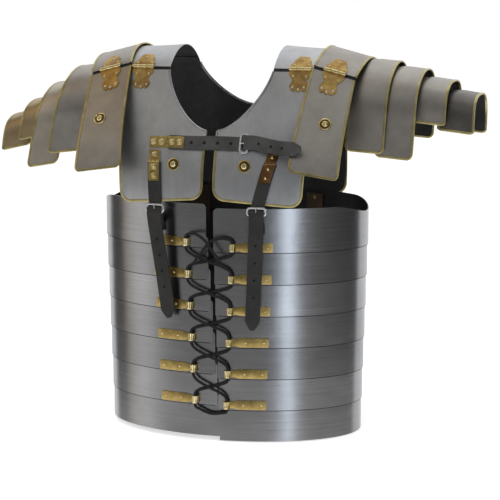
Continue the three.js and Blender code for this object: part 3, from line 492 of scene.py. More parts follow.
def revolve(piece, origin, axis, profile, look, sides=24):
    """A profile of (radius, height) turned about an axis."""
    axis = unit(np.asarray(axis, float))
    ring = ring_of(axis, unit(np.cross(axis, [1.0, 0.1, 0.03])), sides)
    verts = np.concatenate([np.asarray(origin) + ring * r + axis * h for r, h in profile])
    faces = grid_faces(len(profile), sides, wrap=True)
    faces.append(tuple(range(sides))[::-1])
    faces.append(tuple(range((len(profile) - 1) * sides, len(profile) * sides)))
    piece.add(verts, faces, look)


def rivet(piece, origin, axis, radius, look, height=0.55):
    """A domed head, sunk a little so that it never floats."""
    sunk = 0.3
    dome = [(radius * math.cos(a), radius * height * math.sin(a) + sunk) for a in np.radians([0, 22, 45, 66, 84])]
    revolve(piece, np.asarray(origin) - np.asarray(axis) * sunk, axis, [(radius, 0)] + dome, look, 14)


def corner_inset(distance, radius):
    """How far a rounded corner draws the edge in at this distance from the end."""
    rise = np.clip(radius - distance, 0, radius)
    return radius - np.sqrt(radius * radius - rise * rise)


def rounded_rows(length, radius, steps, corner=7):
    """Shares of a length, even at first and closer towards its rounded end."""
    straight = 1 - radius / length
    turn = np.sin(np.linspace(0, math.pi / 2, corner + 1))
    return np.concatenate([even(steps) * straight, lerp(straight, 1, turn[1:])])


# Section of the brass edging: out past the plate's edge, up along its normal
TRIM = [(-3.2, -0.2), (-3.2, 0.35), (-2.9, 0.6), (-0.4, 0.6), (0.25, 0.4), (0.55, -0.1), (0.55, -1.1), (0.25, -1.6),
        (-0.4, -1.8), (-2.5, -1.8), (-2.7, -1.4), (-2.7, -0.6)]


def edging(name, body, face, paths, slot="brass", profile=TRIM, look="trim_brass", inside=(0.5, 0.5), **towards):
    """A section carried along the edges of a plate, each given as a path of (u, v) places on its face."""
    piece = Piece(name)
    for path in paths:
        u, v = np.asarray(path, float).T
        line, normal = face(u, v), normals(face, u, v, **towards)
        away = unit(np.cross(tangents(line), normal))
        away *= np.sign(np.median(np.sum(away * (line - spot(face, *inside)), -1)))
        sweep(piece, line, away, normal, profile, look)
    piece.done(body, slot=slot)


def strap(piece, face, route, across, low, high, look, out=FRONT, widths=None, corner=0.7):
    """A flat strap laid on a face along (a, b) places, its layers above the face."""
    a, b = np.asarray(route, float).T
    step = 1e-2
    n = normals(face, a, b, step, out=out)
    centre = face(a, b) + n * (low + high) / 2
    da, db = across
    side = unit(face(a + da * step, b + db * step) - face(a - da * step, b - db * step))
    scale = np.ones((len(a), 2))
    if widths is not None:
        scale[:, 0] = widths
    section = rounded_box(math.hypot(da, db), (high - low) / 2, min(corner, (high - low) * 0.45))
    sweep(piece, centre, side, n, section, look, scale=scale)


# Girdle

HOOP_COUNT, HOOP_HEIGHT, HOOP_PITCH, GIRDLE_TOP = 7, 65.0, 47.5, -220.0
HALF_WIDTH, HALF_DEPTH, HOOP_STEP = 205, 136, 1.5
# The wearer's left half hangs lower
LEFT_DROP = 6
# Width of the front opening at the top and bottom hoop, how far it wanders sideways, and half the one at the back
TOP_GAP, BOTTOM_GAP, GAP_SHIFT, BACK_GAP = 11, 0.15, 12, 4
UNDERARM_DIP, DIP_REACH, HOOP_CORNER = 13, 0.2, 7


def hoop_top(index, side):
    return GIRDLE_TOP - index * HOOP_PITCH - (LEFT_DROP if side > 0 else 0)


def hoop_sizes(index):
    return HALF_WIDTH - index * HOOP_STEP, HALF_DEPTH - index * HOOP_STEP


def hoop_face(index, facing):
    a, b = hoop_sizes(index)
    return lambda x, z: point(x, facing * b * np.sqrt(np.maximum(0, 1 - (x / a) ** 2)), z)


def hoop_body(index):
    return "shoulders_and_top_hoop" if index == 0 else f"hoops_{index + 1}"


def make_hoops():
    for index in range(HOOP_COUNT):
        share = index / (HOOP_COUNT - 1)
        a, b = hoop_sizes(index)
        for label, side in SIDES:
            start = math.asin((lerp(TOP_GAP, BOTTOM_GAP, share) / 2 + side * GAP_SHIFT * share) / a)
            end = math.pi - math.asin(BACK_GAP / a)
            top = hoop_top(index, side)

            def face(u, v):
                angle = lerp(start, end, u)
                dip = corner_inset((angle - start) * a, HOOP_CORNER) + corner_inset((end - angle) * a, HOOP_CORNER)
                if index == 0:
                    away = np.minimum(np.abs(angle / math.pi - 0.5) / DIP_REACH, 1)
                    dip = dip + UNDERARM_DIP * (1 + np.cos(away * math.pi)) / 2
                return point(side * a * np.sin(angle), -b * np.cos(angle), top + lerp(-HOOP_HEIGHT, -dip, v))

            near = np.array([0, 0.25, 0.9, 2, 3.6, 5.4, HOOP_CORNER]) / ((end - start) * a)
            us = np.concatenate([near, lerp(near[-1], 1 - near[-1], even(110))[1:-1], 1 - near[::-1]])
            piece = Piece(f"hoop_{index + 1}_{label}_shell")
            sheet(piece, face, us, even(8), f"hoop_steel_{index + 1}", rim="rim_steel", centre=(0, 0, top - 30))
            if index < HOOP_COUNT - 1:
                # Painted shadow: a dark line under the lower edge, where the next hoop goes in
                angles = np.linspace(start + 4 / a, end - 4 / a, 120)
                shadow_line = point(side * (a - 0.85) * np.sin(angles), (0.85 - b) * np.cos(angles), top - HOOP_HEIGHT - 0.5)
                level = np.tile([0.0, 0.0, 1.0], (len(shadow_line), 1))
                sweep(piece, shadow_line, unit(shadow_line * [1, 1, 0]), level, rounded_box(0.5, 0.6, 0.3, 1), "painted_shade_black")
            piece.done(hoop_body(index), f"hoop_{index + 1}_{label}", slot="hoop_steel", bevel=EDGE_BEVEL)


make_hoops()


# Tie fittings and laces

ROWS = 6
TUBE_REACH, TUBE_RADIUS, FITTING_RISE = 5.6, 4.7, 8
LACE_RADIUS = 2.15
# Height over the hoops of the strands that cross below and above
LACE_LIFTS = (4.1, 8.7)


def tube_x(row):
    return lerp(35, 24, row / (ROWS - 1))


def fitting_z(row, side):
    return hoop_top(row, side) - HOOP_HEIGHT + FITTING_RISE


def tube_place(row, side, facing):
    p, n = on_face(hoop_face(row, facing), side * tube_x(row), fitting_z(row, side), (0, facing, 0))
    return p + n * (SEAT + TUBE_RADIUS), n


# Waisted strip: its width along its length, as shares
STRIP_SHARES = np.array([0, 0.06, 0.12, 0.16, 0.22, 0.3, 0.45, 0.6, 0.75, 0.9, 0.97, 1.0])
STRIP_WIDTHS = (0.74, 0.74, 0.74, 0.82, 0.96, 1, 1, 1, 1, 1, 1, 0.93)
# Rolled tube: its size along its length, and its section with the groove where the strip closes
TUBE_ENDS = ((-TUBE_REACH, 0.9), (-TUBE_REACH + 0.5, 1.0), (-3.4, 0.97), (3.4, 0.97), (TUBE_REACH - 0.5, 1.0),
             (TUBE_REACH, 0.9))


def make_tie_fitting(piece, row, side, facing):
    face, out = hoop_face(row, facing), (0, facing, 0)
    middle, start = fitting_z(row, side), tube_x(row)
    route = [(side * (start + 2 + 55 * s), middle) for s in STRIP_SHARES]
    strap(piece, face, route, (0, 7.0), SEAT, SEAT + 1.1, "strip_brass", out, STRIP_WIDTHS, 0.3)
    for s in (0.42, 0.88):
        p, n = on_face(face, side * (start + 57 * s), middle, out)
        rivet(piece, p + n * (SEAT + 1.0), n, 1.7, "bright_brass", 0.6)
    centre, n = tube_place(row, side, facing)
    across = unit(np.cross(n, [0, 0, 1.0]))
    turn = around(40)
    groove = 1 - 0.26 * np.exp(-(((np.degrees(turn) - 90 + 180) % 360 - 180) / 13) ** 2)
    outline = np.stack([5.2 * np.cos(turn) * groove, TUBE_RADIUS * np.sin(turn) * groove], -1)
    count = len(TUBE_ENDS)
    sweep(piece, [centre + np.array([0, 0, h]) for h, _ in TUBE_ENDS], [across] * count, [n] * count, outline,
          "bright_brass", scale=[(size, size) for _, size in TUBE_ENDS])
    # Dark discs at both ends of the tube: painted shade standing for its bore
    for h in (-TUBE_REACH, TUBE_REACH):
        revolve(piece, centre + np.array([0, 0, h - 0.1]), UP, [(3.0, 0), (3.0, 0.25)], "painted_shade_black", 16)


def make_tie_fittings():
    for facing, place in ((-1, ""), (1, "_back")):
        for row in range(ROWS):
            for label, side in SIDES:
                piece = Piece(f"tie_fitting_{row + 1}_{label}{place}_brass")
                make_tie_fitting(piece, row, side, facing)
                nodes = [] if place else [f"tie_fitting_{row + 1}_{label}"]
                piece.done(hoop_body(row), *nodes, slot="brass")


make_tie_fittings()


def lace_route(facing):
    """The CAD lace's places, from one loose end of the bow to the other."""
    reach = np.array([0, 0, 9.0])
    tubes = [[tube_place(row, side, facing)[0] for _, side in SIDES] for row in range(ROWS)]
    depth = lambda row, lift: facing * (HALF_DEPTH - row * HOOP_STEP + lift)

    def strand(row, start_side, lift):
        start, end = tubes[row][start_side] - reach, tubes[row + 1][1 - start_side] + reach
        middle = (start + end) / 2
        middle[1] = depth(row + 1, lift)
        quarter, last = lerp(start, end, 0.25), lerp(start, end, 0.75)
        quarter[0], last[0] = lerp(start[0], end[0], 0.14), lerp(start[0], end[0], 0.86)
        quarter[1], last[1] = (quarter[1] + middle[1]) / 2, (last[1] + middle[1]) / 2
        return [start, quarter, middle, last, end]

    def bow(start_side, lift):
        top = tubes[0][start_side] + reach
        towards = -math.copysign(1, top[0])
        at = lambda x, z, share: np.array([towards * x, lerp(top[1], depth(0, lift), share), top[2] + z])
        return [top, at(-21.6, 5, 0.5), at(-9, 2.5, 1), at(0, -5, 1), at(9, -17, 1), at(22, -34, 1)]

    crossings = range(ROWS - 1)
    down = [p for row in crossings for p in strand(row, row % 2, LACE_LIFTS[row % 2])]
    # Listed from the top row too, then turned round so that it runs upwards
    up = [p for row in crossings for p in strand(row, 1 - row % 2, LACE_LIFTS[1 - row % 2])][::-1]
    ends = [tubes[-1][1] - reach, tubes[-1][0] - reach]
    arc = [lerp(*ends, s) - [0, 0, 8 * 4 * s * (1 - s)] for s in (1 / 6, 1 / 2, 5 / 6)]
    return bow(0, 13.5)[::-1] + down + [ends[0]] + arc + [ends[1]] + up + bow(1, 19.0)


def make_laces():
    for place, facing in (("front", -1), ("back", 1)):
        piece = Piece(f"lace_{place}_cord")
        tube(piece, smooth_path(lace_route(facing), 5), LACE_RADIUS, "lace_cord")
        obj = piece.done("shoulders_and_top_hoop", f"lace_{place}", slot="lace")
        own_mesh(obj)


make_laces()


# Shoulder and torso plates

EDGE_GAP, KNUCKLE, LEAF_LENGTH, LEAF_WIDTH, LEAF_STEEL = 3.2, 2.6, 31.0, 33.0, 1.1
COLLAR_RADIUS, COLLAR_FRONT, COLLAR_BACK, COLLAR_INNER, COLLAR_OUTER, COLLAR_CROWN = 118, -74, 70, 80, 158, 4
GUARD_RADIUS, GUARD_FRONT_EDGE, GUARD_BACK_EDGE, GUARD_WIDTH = 121, -75, 71, 66
TORSO_CORNER, TORSO_HINGE_X = 17, 121


def pin_beyond(radius, crown, edge_y):
    """Facing, y and z of the hinge pin past an arched plate's edge, and where the plate below it starts."""
    angle, facing = math.asin(abs(edge_y) / radius), math.copysign(1, edge_y)
    out, down = math.sin(angle), math.cos(angle)
    y = edge_y + facing * (down * EDGE_GAP + out * KNUCKLE)
    z = crown + radius * (down - 1) - out * EDGE_GAP + down * KNUCKLE
    return {"facing": facing, "y": y, "z": z, "start_y": y - facing * 0.86 * KNUCKLE, "start_z": z - 0.51 * KNUCKLE}


def arch_length(radius, front_y, back_y):
    return radius * (math.asin(-front_y / radius) + math.asin(back_y / radius))


def arch_point(radius, front_y, arc, crown):
    angle = math.asin(-front_y / radius) - arc / radius
    return -radius * np.sin(angle), crown + radius * (np.cos(angle) - 1)


COLLAR_LENGTH = arch_length(COLLAR_RADIUS, COLLAR_FRONT, COLLAR_BACK)
GUARD_LENGTH = arch_length(GUARD_RADIUS, GUARD_FRONT_EDGE, GUARD_BACK_EDGE)


def collar_face(x, arc):
    inward = (COLLAR_OUTER - np.abs(x)) / (COLLAR_OUTER - COLLAR_INNER)
    share = arc / COLLAR_LENGTH
    y, z = arch_point(COLLAR_RADIUS, COLLAR_FRONT, arc, STEEL)
    return point(x, y, z + COLLAR_CROWN * inward ** 2 * 4 * share * (1 - share))


def torso(edge_y, **sizes):
    pin = pin_beyond(COLLAR_RADIUS, STEEL, edge_y)
    return {**sizes, "pin": pin, "length": pin["start_z"] - sizes["bottom_z"]}


BREAST = torso(COLLAR_FRONT, inner_x=8, waist_x=138, neck_z=-114, bottom_z=-212, bottom_drop=10, bottom_y=-147,
               side_wrap=14)
BACK = torso(COLLAR_BACK, inner_x=6, waist_x=140, neck_z=-92, bottom_z=-230, bottom_drop=4, bottom_y=149,
             side_wrap=16)


def torso_face(plate):
    pin = plate["pin"]

    def face(x, down):
        fall = down / plate["length"]
        end_y = plate["bottom_y"] - pin["facing"] * plate["side_wrap"] * (x / 150) ** 2
        return point(x, lerp(pin["start_y"], end_y, np.sin(fall * math.pi / 2)), pin["start_z"] - down)

    return face


def torso_sheet(plate, side):
    """A breast or back plate's face in (u, v) from 0 to 1, its rows, and where its neck edge ends."""
    face, length = torso_face(plate), plate["length"]
    neck = plate["pin"]["start_z"] - plate["neck_z"]

    def bent(u, v):
        down = v * length
        opened = np.maximum(0, 1 - np.clip(down / neck, 0, 1) ** 1.5) ** (1 / 1.5)
        inset = corner_inset(length - down, TORSO_CORNER)
        x = lerp(lerp(plate["inner_x"], COLLAR_INNER, opened) + inset, lerp(150, plate["waist_x"], v) - inset, u)
        return face(side * x, down + plate["bottom_drop"] * v ** 2 * (x / plate["waist_x"]))

    upper = lerp(EDGE_GAP, neck, np.sin(even(34) * math.pi / 2)) / length
    lower = lerp(neck, length, rounded_rows(length - neck, TORSO_CORNER, 12, 9)[1:]) / length
    return bent, np.concatenate([upper, lower]), neck / length


BOSS_RADIUS, BOSS_HEIGHT = 9.5, 4.5
# Profiles of a boss, as shares of its radius and height: rim, groove and knob with its dimple
BOSS = (([(1, -0.2), (1, 0.2), (0.95, 0.36), (0.87, 0.4), (0.8, 0.26), (0.76, 0.12)], "bright_brass"),
        ([(0.8, 0.0), (0.8, 0.2), (0.72, 0.15), (0.46, 0.16)], "groove_brass"),
        ([(0.52, 0.0), (0.52, 0.3), (0.5, 0.5), (0.42, 0.72), (0.31, 0.9), (0.2, 0.95), (0.1, 0.9), (0.03, 0.86)],
         "bright_brass"))


def make_boss(name, body, face, x, down):
    piece = Piece(name)
    place, normal = on_face(face, x, down)
    for profile, look in BOSS:
        revolve(piece, place, normal, [(r * BOSS_RADIUS, h * BOSS_HEIGHT) for r, h in profile], look, 36)
    piece.done(body, slot="brass")


# Hinge leaves: half widths along their length as shares, and their rivets' places; the lower one is waisted and
# ends in three lobes, the upper one narrows to a notched end
LOWER_LEAF = {
    "widths": ((0, 1), (0.24, 1), (0.34, 0.86), (0.5, 0.66), (0.62, 0.64), (0.76, 0.8), (0.88, 0.86), (1, 0.74)),
    "end": lambda u, lobes: 0.82 + 0.09 * lobes + 0.06 * (1 - u * u),
    "rivets": {"bright_brass": [(-0.6, 0.3), (0.6, 0.3)], "rivet_steel": [(0, 0.9), (-0.52, 0.8), (0.52, 0.8)]},
}
UPPER_LEAF = {
    "widths": ((0, 1), (0.3, 1), (0.4, 0.84), (0.55, 0.74), (0.66, 0.78), (0.74, 0.66), (0.9, 0.56), (1, 0.5)),
    "end": lambda u, lobes: 0.93 + 0.05 * lobes,
    "rivets": {"bright_brass": [(-0.66, 0.3), (0.66, 0.3), (0, 0.74)]},
}


def leaf(piece, centre_x, face, out, form):
    knots, widths = zip(*form["widths"])

    def outline(u, v):
        u = 2 * u - 1
        x = centre_x + u * LEAF_WIDTH / 2 * np.interp(v, knots, widths)
        end = form["end"](u, np.sqrt(np.abs(np.cos(1.5 * math.pi * u))))
        return lifted(face, LEAF_STEEL, out)(x, lerp(EDGE_GAP * 0.5, LEAF_LENGTH * end * 1.04, v))

    sheet(piece, outline, even(28), even(22), "hinge_brass", "hinge_brass", thickness=LEAF_STEEL, out=out)
    for look, places in form["rivets"].items():
        for x, s in places:
            p, n = on_face(face, centre_x + x * LEAF_WIDTH / 2, s * LEAF_LENGTH, out)
            rivet(piece, p + n * 1.05, n, 1.9, look)


def gap_shade_strip(piece, upper, lower, x, half, out):
    """Painted shade: a black strip behind a hinge's gap, from under one plate to behind the other."""
    above, below = lifted(upper, -1.9, out), lifted(lower, -1.9, out)
    overlaps = (9, 4, 0)
    places = [spot(above, x, EDGE_GAP + s) for s in overlaps] + [spot(below, x, EDGE_GAP + s) for s in overlaps[::-1]]
    line = smooth_path(places, 3)
    across = unit(spot(above, x + 1, EDGE_GAP) - spot(above, x - 1, EDGE_GAP))
    up = np.cross(tangents(line), across)
    sweep(piece, line, np.tile(across, (len(line), 1)), up, rounded_box(half, 0.35, 0.2, 1), "black_inside_and_gap_shade")


def barrel(length, steps):
    """Profile of a knuckle from the (radius, distance from the end) steps of its ends."""
    return [*steps, *((r, length - h) for r, h in steps[::-1])]


def knuckles(piece, centre_x, pin, move, which):
    """Some of a hinge's three knuckles; the outer ones have the pin's heads."""
    start, length = centre_x - LEAF_WIDTH / 2, (LEAF_WIDTH - 0.7) / 3
    for k in which:
        x = start + k * (length + 0.35)
        p, q = move(point(x, pin["y"], pin["z"])), move(point(x + length, pin["y"], pin["z"]))
        revolve(piece, p, q - p, barrel(length, [(1.9, 0), (2.5, 0.15), (2.75, 0.6)]), "bright_brass", 18)
        if k != 1:
            tip, axis = (p, p - q) if k == 0 else (q, q - p)
            rivet(piece, tip, unit(axis), 1.7, "trim_brass", 0.8)


def make_hinge(name, bodies, centre_x, arch, length, below, out, pin, strip, move=lambda p: p):
    """A hinge between an arched plate, as long as given, and the plate below; the strip of painted shade behind its
    gap is (x, half width).
    """
    facing = pin["facing"]
    upper = lambda x, s: arch(x, s - EDGE_GAP if facing < 0 else length + EDGE_GAP - s)
    fixed, moving = (Piece(f"{name}_{part}") for part in ("upper", "lower"))
    leaf(fixed, centre_x, upper, (0, facing * 0.6, 1), UPPER_LEAF)
    gap_shade_strip(fixed, upper, below, *strip, (0, facing, 1))
    leaf(moving, centre_x, below, out, LOWER_LEAF)
    knuckles(fixed, centre_x, pin, move, (0, 2))
    knuckles(moving, centre_x, pin, move, (1,))
    for piece, body in zip((fixed, moving), bodies):
        piece.done(body, slot="brass")


def free_edges(rows, cols):
    """Way round a plate's free edges in its (u, v) measures: down one side, across the end, up the other."""
    return [(0, v) for v in rows] + [(u, 1) for u in even(cols)[1:]] + [(1, v) for v in rows[-2::-1]]


def make_torso_plates():
    for label, side in SIDES:
        collar = lambda u, v: collar_face(side * lerp(COLLAR_INNER, COLLAR_OUTER, u), v * COLLAR_LENGTH)
        plate(f"collar_plate_{label}", "shoulders_and_top_hoop", collar, even(10), even(40), "plate_steel", out=UP)
        for form, word, body in ((BREAST, "breast", "breast_plates"), (BACK, "back", "back_plates")):
            name, face = f"{word}_plate_{label}", torso_face(form)
            out = (0, form["pin"]["facing"], 0.15)
            bent, rows, neck = torso_sheet(form, side)
            plate(name, body, bent, even(22), rows, "plate_steel", out=out)
            # The edging starts a little under the neck's round edge, which is rolled instead
            first = np.searchsorted(rows, neck + 0.04, "right")
            edging(f"{name}_trim", body, bent, [free_edges(rows, 30)[first:]], inside=(0.6, 0.6), out=out)
            edging(f"{name}_neck_roll", body, bent, [[(0, v) for v in rows[:first + 1]]], "plate_steel",
                   circle(1.75, 12) + [-0.3, -0.4], "rim_steel", (0.6, 0.6), out=out)
            make_hinge(f"{word}_hinge_{label}", ("shoulders_and_top_hoop", body), side * TORSO_HINGE_X, collar_face,
                       COLLAR_LENGTH, face, out, form["pin"], (side * 115, 35.5))
        make_boss(f"breast_boss_{label}", "breast_plates", torso_face(BREAST), side * 54,
                  BREAST["pin"]["start_z"] + 163)


make_torso_plates()


# Guards and lames

GUARD_TILT, GUARD_X, GUARD_Z = 14.5, 147, 6
HANG_BEND, GUARD_CORNER = math.radians(67), 9
GUARD_FRONT = {"pin": pin_beyond(GUARD_RADIUS, 0, GUARD_FRONT_EDGE), "inner": 143, "outer": 137, "end_y": -168,
               "shifts": (22, 30)}
GUARD_BACK = {"pin": pin_beyond(GUARD_RADIUS, 0, GUARD_BACK_EDGE), "inner": 135, "outer": 118, "end_y": 150,
              "shifts": (18, 26)}


def guard_world(side):
    turn = side * math.radians(GUARD_TILT)
    c, s = math.cos(turn), math.sin(turn)
    return lambda p: point(p[..., 0] * c + p[..., 2] * s + side * GUARD_X, p[..., 1],
                           -p[..., 0] * s + p[..., 2] * c + GUARD_Z)


def hanging_y(form, down):
    bent = np.sin(HANG_BEND * down / form["inner"]) / math.sin(HANG_BEND)
    return lerp(form["pin"]["start_y"], form["end_y"], bent)


def make_guards():
    for label, side in SIDES:
        move = guard_world(side)
        top_face = lambda x, arc: move(point(x, *arch_point(GUARD_RADIUS, GUARD_FRONT_EDGE, arc, 0)))
        top = lambda u, v: top_face(side * GUARD_WIDTH * u, v * GUARD_LENGTH)
        plate(f"guard_top_{label}", f"guard_{label}", top, even(8), even(44), "guard_steel", out=UP)
        edging(f"guard_top_{label}_trim", f"guard_{label}", top, [[(u, v) for v in even(48)] for u in (0, 1)], out=UP)
        for form, word in ((GUARD_FRONT, "front"), (GUARD_BACK, "back")):
            name, pin, (inner_shift, outer_shift) = f"guard_{word}_{label}", form["pin"], form["shifts"]
            body, out = f"{name}_plate", (0, pin["facing"], 0.2)
            hung = lambda x, down: move(point(x, hanging_y(form, down), pin["start_z"] - down))

            def bent(u, v):
                down = lerp(EDGE_GAP, lerp(form["inner"], form["outer"], u), v)
                inset = corner_inset((1 - v) * form["outer"], GUARD_CORNER)
                return hung(side * lerp(inner_shift * v + inset, GUARD_WIDTH + outer_shift * v - inset, u), down)

            rows = rounded_rows(form["outer"], GUARD_CORNER, 22)
            plate(name, body, bent, even(12), rows, "guard_steel", out=out)
            edging(f"{name}_trim", body, bent, [free_edges(rows, 20)], out=out)
            make_hinge(f"guard_{word}_hinge_{label}", (f"guard_{label}", body), side * (17 + LEAF_WIDTH / 2),
                       top_face, GUARD_LENGTH, hung, out, pin, (side * GUARD_WIDTH / 2, 32.2), move)
            if word == "front":
                make_boss(f"guard_boss_{label}", body, hung, side * 50, 69)


make_guards()

# Lame by lame: half depth, height of the arch, lengths of the front and back legs, and how square the arch is,
# where 1 is an ellipse
LAMES = ((82, 72, 132, 116, 1.0), (77, 68, 130, 112, 0.88), (64, 50, 64, 70, 0.70), (57, 45, 58, 66, 0.66))
# Side by side and lame by lame: slope in degrees, rise over the CAD's place, sideways lean of the legs, look; the
# darkest look, on the last left lame, is painted shade
LAME_PLACES = {
    "left": ((17, 4, -0.06, "guard_steel"), (21, 10, -0.06, "guard_steel"), (25, 14, -0.04, "guard_steel"),
             (27, 17, -0.02, "lame_painted_shade")),
    "right": ((24, -6, 0.2, "guard_steel"), (32, -7, 0.2, "lame_pale"), (37, -5, 0.15, "lame_tan"),
              (39, 1, 0.12, "lame_tan")),
}
# Share of its slope that each lame's own top keeps, turned about its middle, so that the row steps down
STEP_SHARES = {"left": 0.28, "right": 0.36}
LAME_WIDTH, LAME_OVERLAP, LAME_CORNER, LAME_MIDDLE_Y = 60, 15, 9, 3
# How far from the top the arch passes into the legs, in the face's v
ARCH_SHARE = 0.6
# How far the end that runs under the plate above is drawn in
LAME_TUCK = 4.0
# Last row of a lame's legs before the arch
LEG_ROWS_END = 0.4


def lame_origins(label):
    """Inner end of every lame, from the guard's outer edge on: x, z and slope."""
    slopes = [math.radians(a) for a in (GUARD_TILT, *(slope for slope, *_ in LAME_PLACES[label]))]
    x, z = GUARD_X + GUARD_WIDTH * math.cos(slopes[0]), GUARD_Z - GUARD_WIDTH * math.sin(slopes[0])
    shown = LAME_WIDTH - LAME_OVERLAP
    origins = []
    for above, slope in zip(slopes, slopes[1:]):
        gap = SEAT + LAME_OVERLAP * math.sin(max(0, slope - above))
        x, z = x - math.sin(above) * (STEEL + gap), z - math.cos(above) * (STEEL + gap)
        origins.append((x, z, slope))
        x, z = x + math.cos(slope) * shown, z - math.sin(slope) * shown
    return origins


def lame_face(label, side, index, origin):
    """A lame's face: u runs outwards, v from the front foot at 0 over the top at 1 to the back foot at 2."""
    x0, z0, slope = origin
    _, rise, lean, _ = LAME_PLACES[label][index]
    depth, height, front, back, roundness = LAMES[index]
    top_slope = slope * STEP_SHARES[label]

    def face(u, v):
        end = np.where(v < 1, v * front, (2 - v) * back)
        inset = corner_inset(end, LAME_CORNER) / LAME_WIDTH
        along = lerp(-LAME_OVERLAP, LAME_WIDTH - LAME_OVERLAP, lerp(inset, 1 - inset, u))
        top = -LAME_OVERLAP * math.sin(slope) - (along - LAME_OVERLAP) * math.sin(top_slope)
        turn = math.pi / 2 * np.clip((v - 1) / ARCH_SHARE, -1, 1)
        spring = top - height * (1 - np.clip(np.cos(turn), 0, 1) ** roundness)
        leg = np.maximum(0, (np.abs(v - 1) - ARCH_SHARE) / (1 - ARCH_SHARE))
        z = lerp(spring, top * 0.75 - np.where(v < 1, front, back), leg)
        # The covered end is drawn in, less and less towards the feet, so that these stay straight
        tuck = LAME_TUCK * (1 - np.clip(u / 0.5, 0, 1)) ** 1.5
        half = depth - tuck * np.clip(v, 0, 1) * np.clip(2 - v, 0, 1)
        return point(side * (x0 + along * math.cos(slope) + lean * (top - z)),
                     LAME_MIDDLE_Y + half * np.sign(turn) * np.abs(np.sin(turn)) ** roundness,
                     z0 + rise + z - tuck * (1 - leg))

    return face


def make_lames():
    for label, side in SIDES:
        for index, origin in enumerate(lame_origins(label)):
            name, body = f"lame_{index + 2}_{label}", f"lame_{index + 2}_{label}_plate"
            face = lame_face(label, side, index, origin)
            _, _, front, back, _ = LAMES[index]
            corner = LAME_CORNER * (1 - np.cos(np.linspace(0, math.pi / 2, 8)))
            low, high = LEG_ROWS_END, 2 - LEG_ROWS_END
            rows = [corner / front, lerp(corner[-1] / front, low, even(8)), lerp(low, high, even(56)),
                    lerp(high, 2 - corner[-1] / back, even(8)), 2 - corner / back]
            rows = np.unique(np.round(np.concatenate(rows), 7))
            centre = (side * (origin[0] + LAME_OVERLAP), LAME_MIDDLE_Y, origin[1] - 60)
            plate(name, body, face, even(8), rows, "guard_steel", LAME_PLACES[label][index][-1], centre=centre)
            # The edging goes all the way round; out of the plate is told at the middle of the outer edge
            u, v = np.array([(1, v) for v in rows] + [(u, 2) for u in even(12)[-2::-1]]
                            + [(0, v) for v in rows[-2::-1]] + [(u, 0) for u in even(12)[1:-1]], float).T
            line, normal = face(u, v), normals(face, u, v, centre=centre)
            away = unit(np.cross(tangents(line, True), normal))
            away *= np.sign(away[len(rows) // 2, 0] * side)
            trim = Piece(f"{name}_trim")
            sweep(trim, line, away, normal, TRIM, "trim_brass", closed=True)
            trim.done(body, slot="brass")


make_lames()


# Straps and buckles

BREAST_FACE, BREAST_START = torso_face(BREAST), BREAST["pin"]["start_z"]
CHEST_Z, CHEST_START_X, CHEST_BUCKLE_X, HANGER_BUCKLE_Z = -132, -94, 52, -227
CHEST_DOWN = BREAST_START - CHEST_Z
CHEST_HALF, FITTING_HALF = 10.5, 8.5
# Half the length of a buckle's frame and the height of its middle over the plate; the height of the strap leaving it
FRAME_HALF, FRAME_LIFT = 5.5, STRAP_TOP + SEAT + 1.3
EXIT_LIFT = FRAME_LIFT + 1.3 + STRAP_SEAT
# Where the strap enters and leaves a buckle, measured along it from the buckle's middle
ENTRY, LEAVE = 14 * 0.207, 14 * -0.21
# From the end of a fitting's brass plate to its knuckle and to the strap
TO_KNUCKLE, TO_STRAP = 2.2, 3.9
HOLE_RADIUS, TIP_LENGTH = 1.9, 16


def breast_down(z):
    return BREAST_START - z


def above_breast(x, z, lift):
    p, n = on_face(BREAST_FACE, x, breast_down(z))
    return p + n * lift


def make_buckle(piece, x, z, upright):
    """Rounded frame with a tongue on the breast plates' face; the strap runs along it. Returns its right and up."""
    place, normal = on_face(BREAST_FACE, x, breast_down(z))
    right = unit(np.array([1.0, 0, 0]) - normal * normal[0])
    up = np.cross(normal, right)
    along, across = (-up, right) if upright else (right, up)
    place = place + normal * FRAME_LIFT
    outline = rounded_box(FRAME_HALF, 13.5, 4.2, 7)
    line = place + along * outline[:, :1] + across * outline[:, 1:]
    sweep(piece, line, np.cross(tangents(line, True), normal), np.tile(normal, (len(line), 1)),
          rounded_box(1.5, 1.3, 0.9), "buckle_steel", closed=True)
    tongue = [place + along * a + normal * h for a, h in ((5.4, 2.0), (2, 2.3), (-2, 2.3), (-5.2, 1.9), (-6.4, 1.7))]
    tube(piece, smooth_path(tongue, 4), 0.95, "buckle_steel", 10)
    tube(piece, [place + along * FRAME_HALF + across * w for w in (-2.2, 0, 2.2)], 2.0, "buckle_steel")
    return right, up


def holes(piece, places):
    """Strap holes at (place, normal) pairs: dark discs of painted shade where the holes are, each with a raised rim.
    """
    for p, n in places:
        revolve(piece, p - n * 0.2, n, [(HOLE_RADIUS, 0), (HOLE_RADIUS, 0.32)], "painted_shade_black", 16)
        ring = ring_of(n, unit(np.cross(n, [0.2, 0.1, 1.0])), 20)
        tube(piece, p + n * 0.1 + ring * (HOLE_RADIUS + 0.25), 0.3, "black_leather", 6, closed=True)


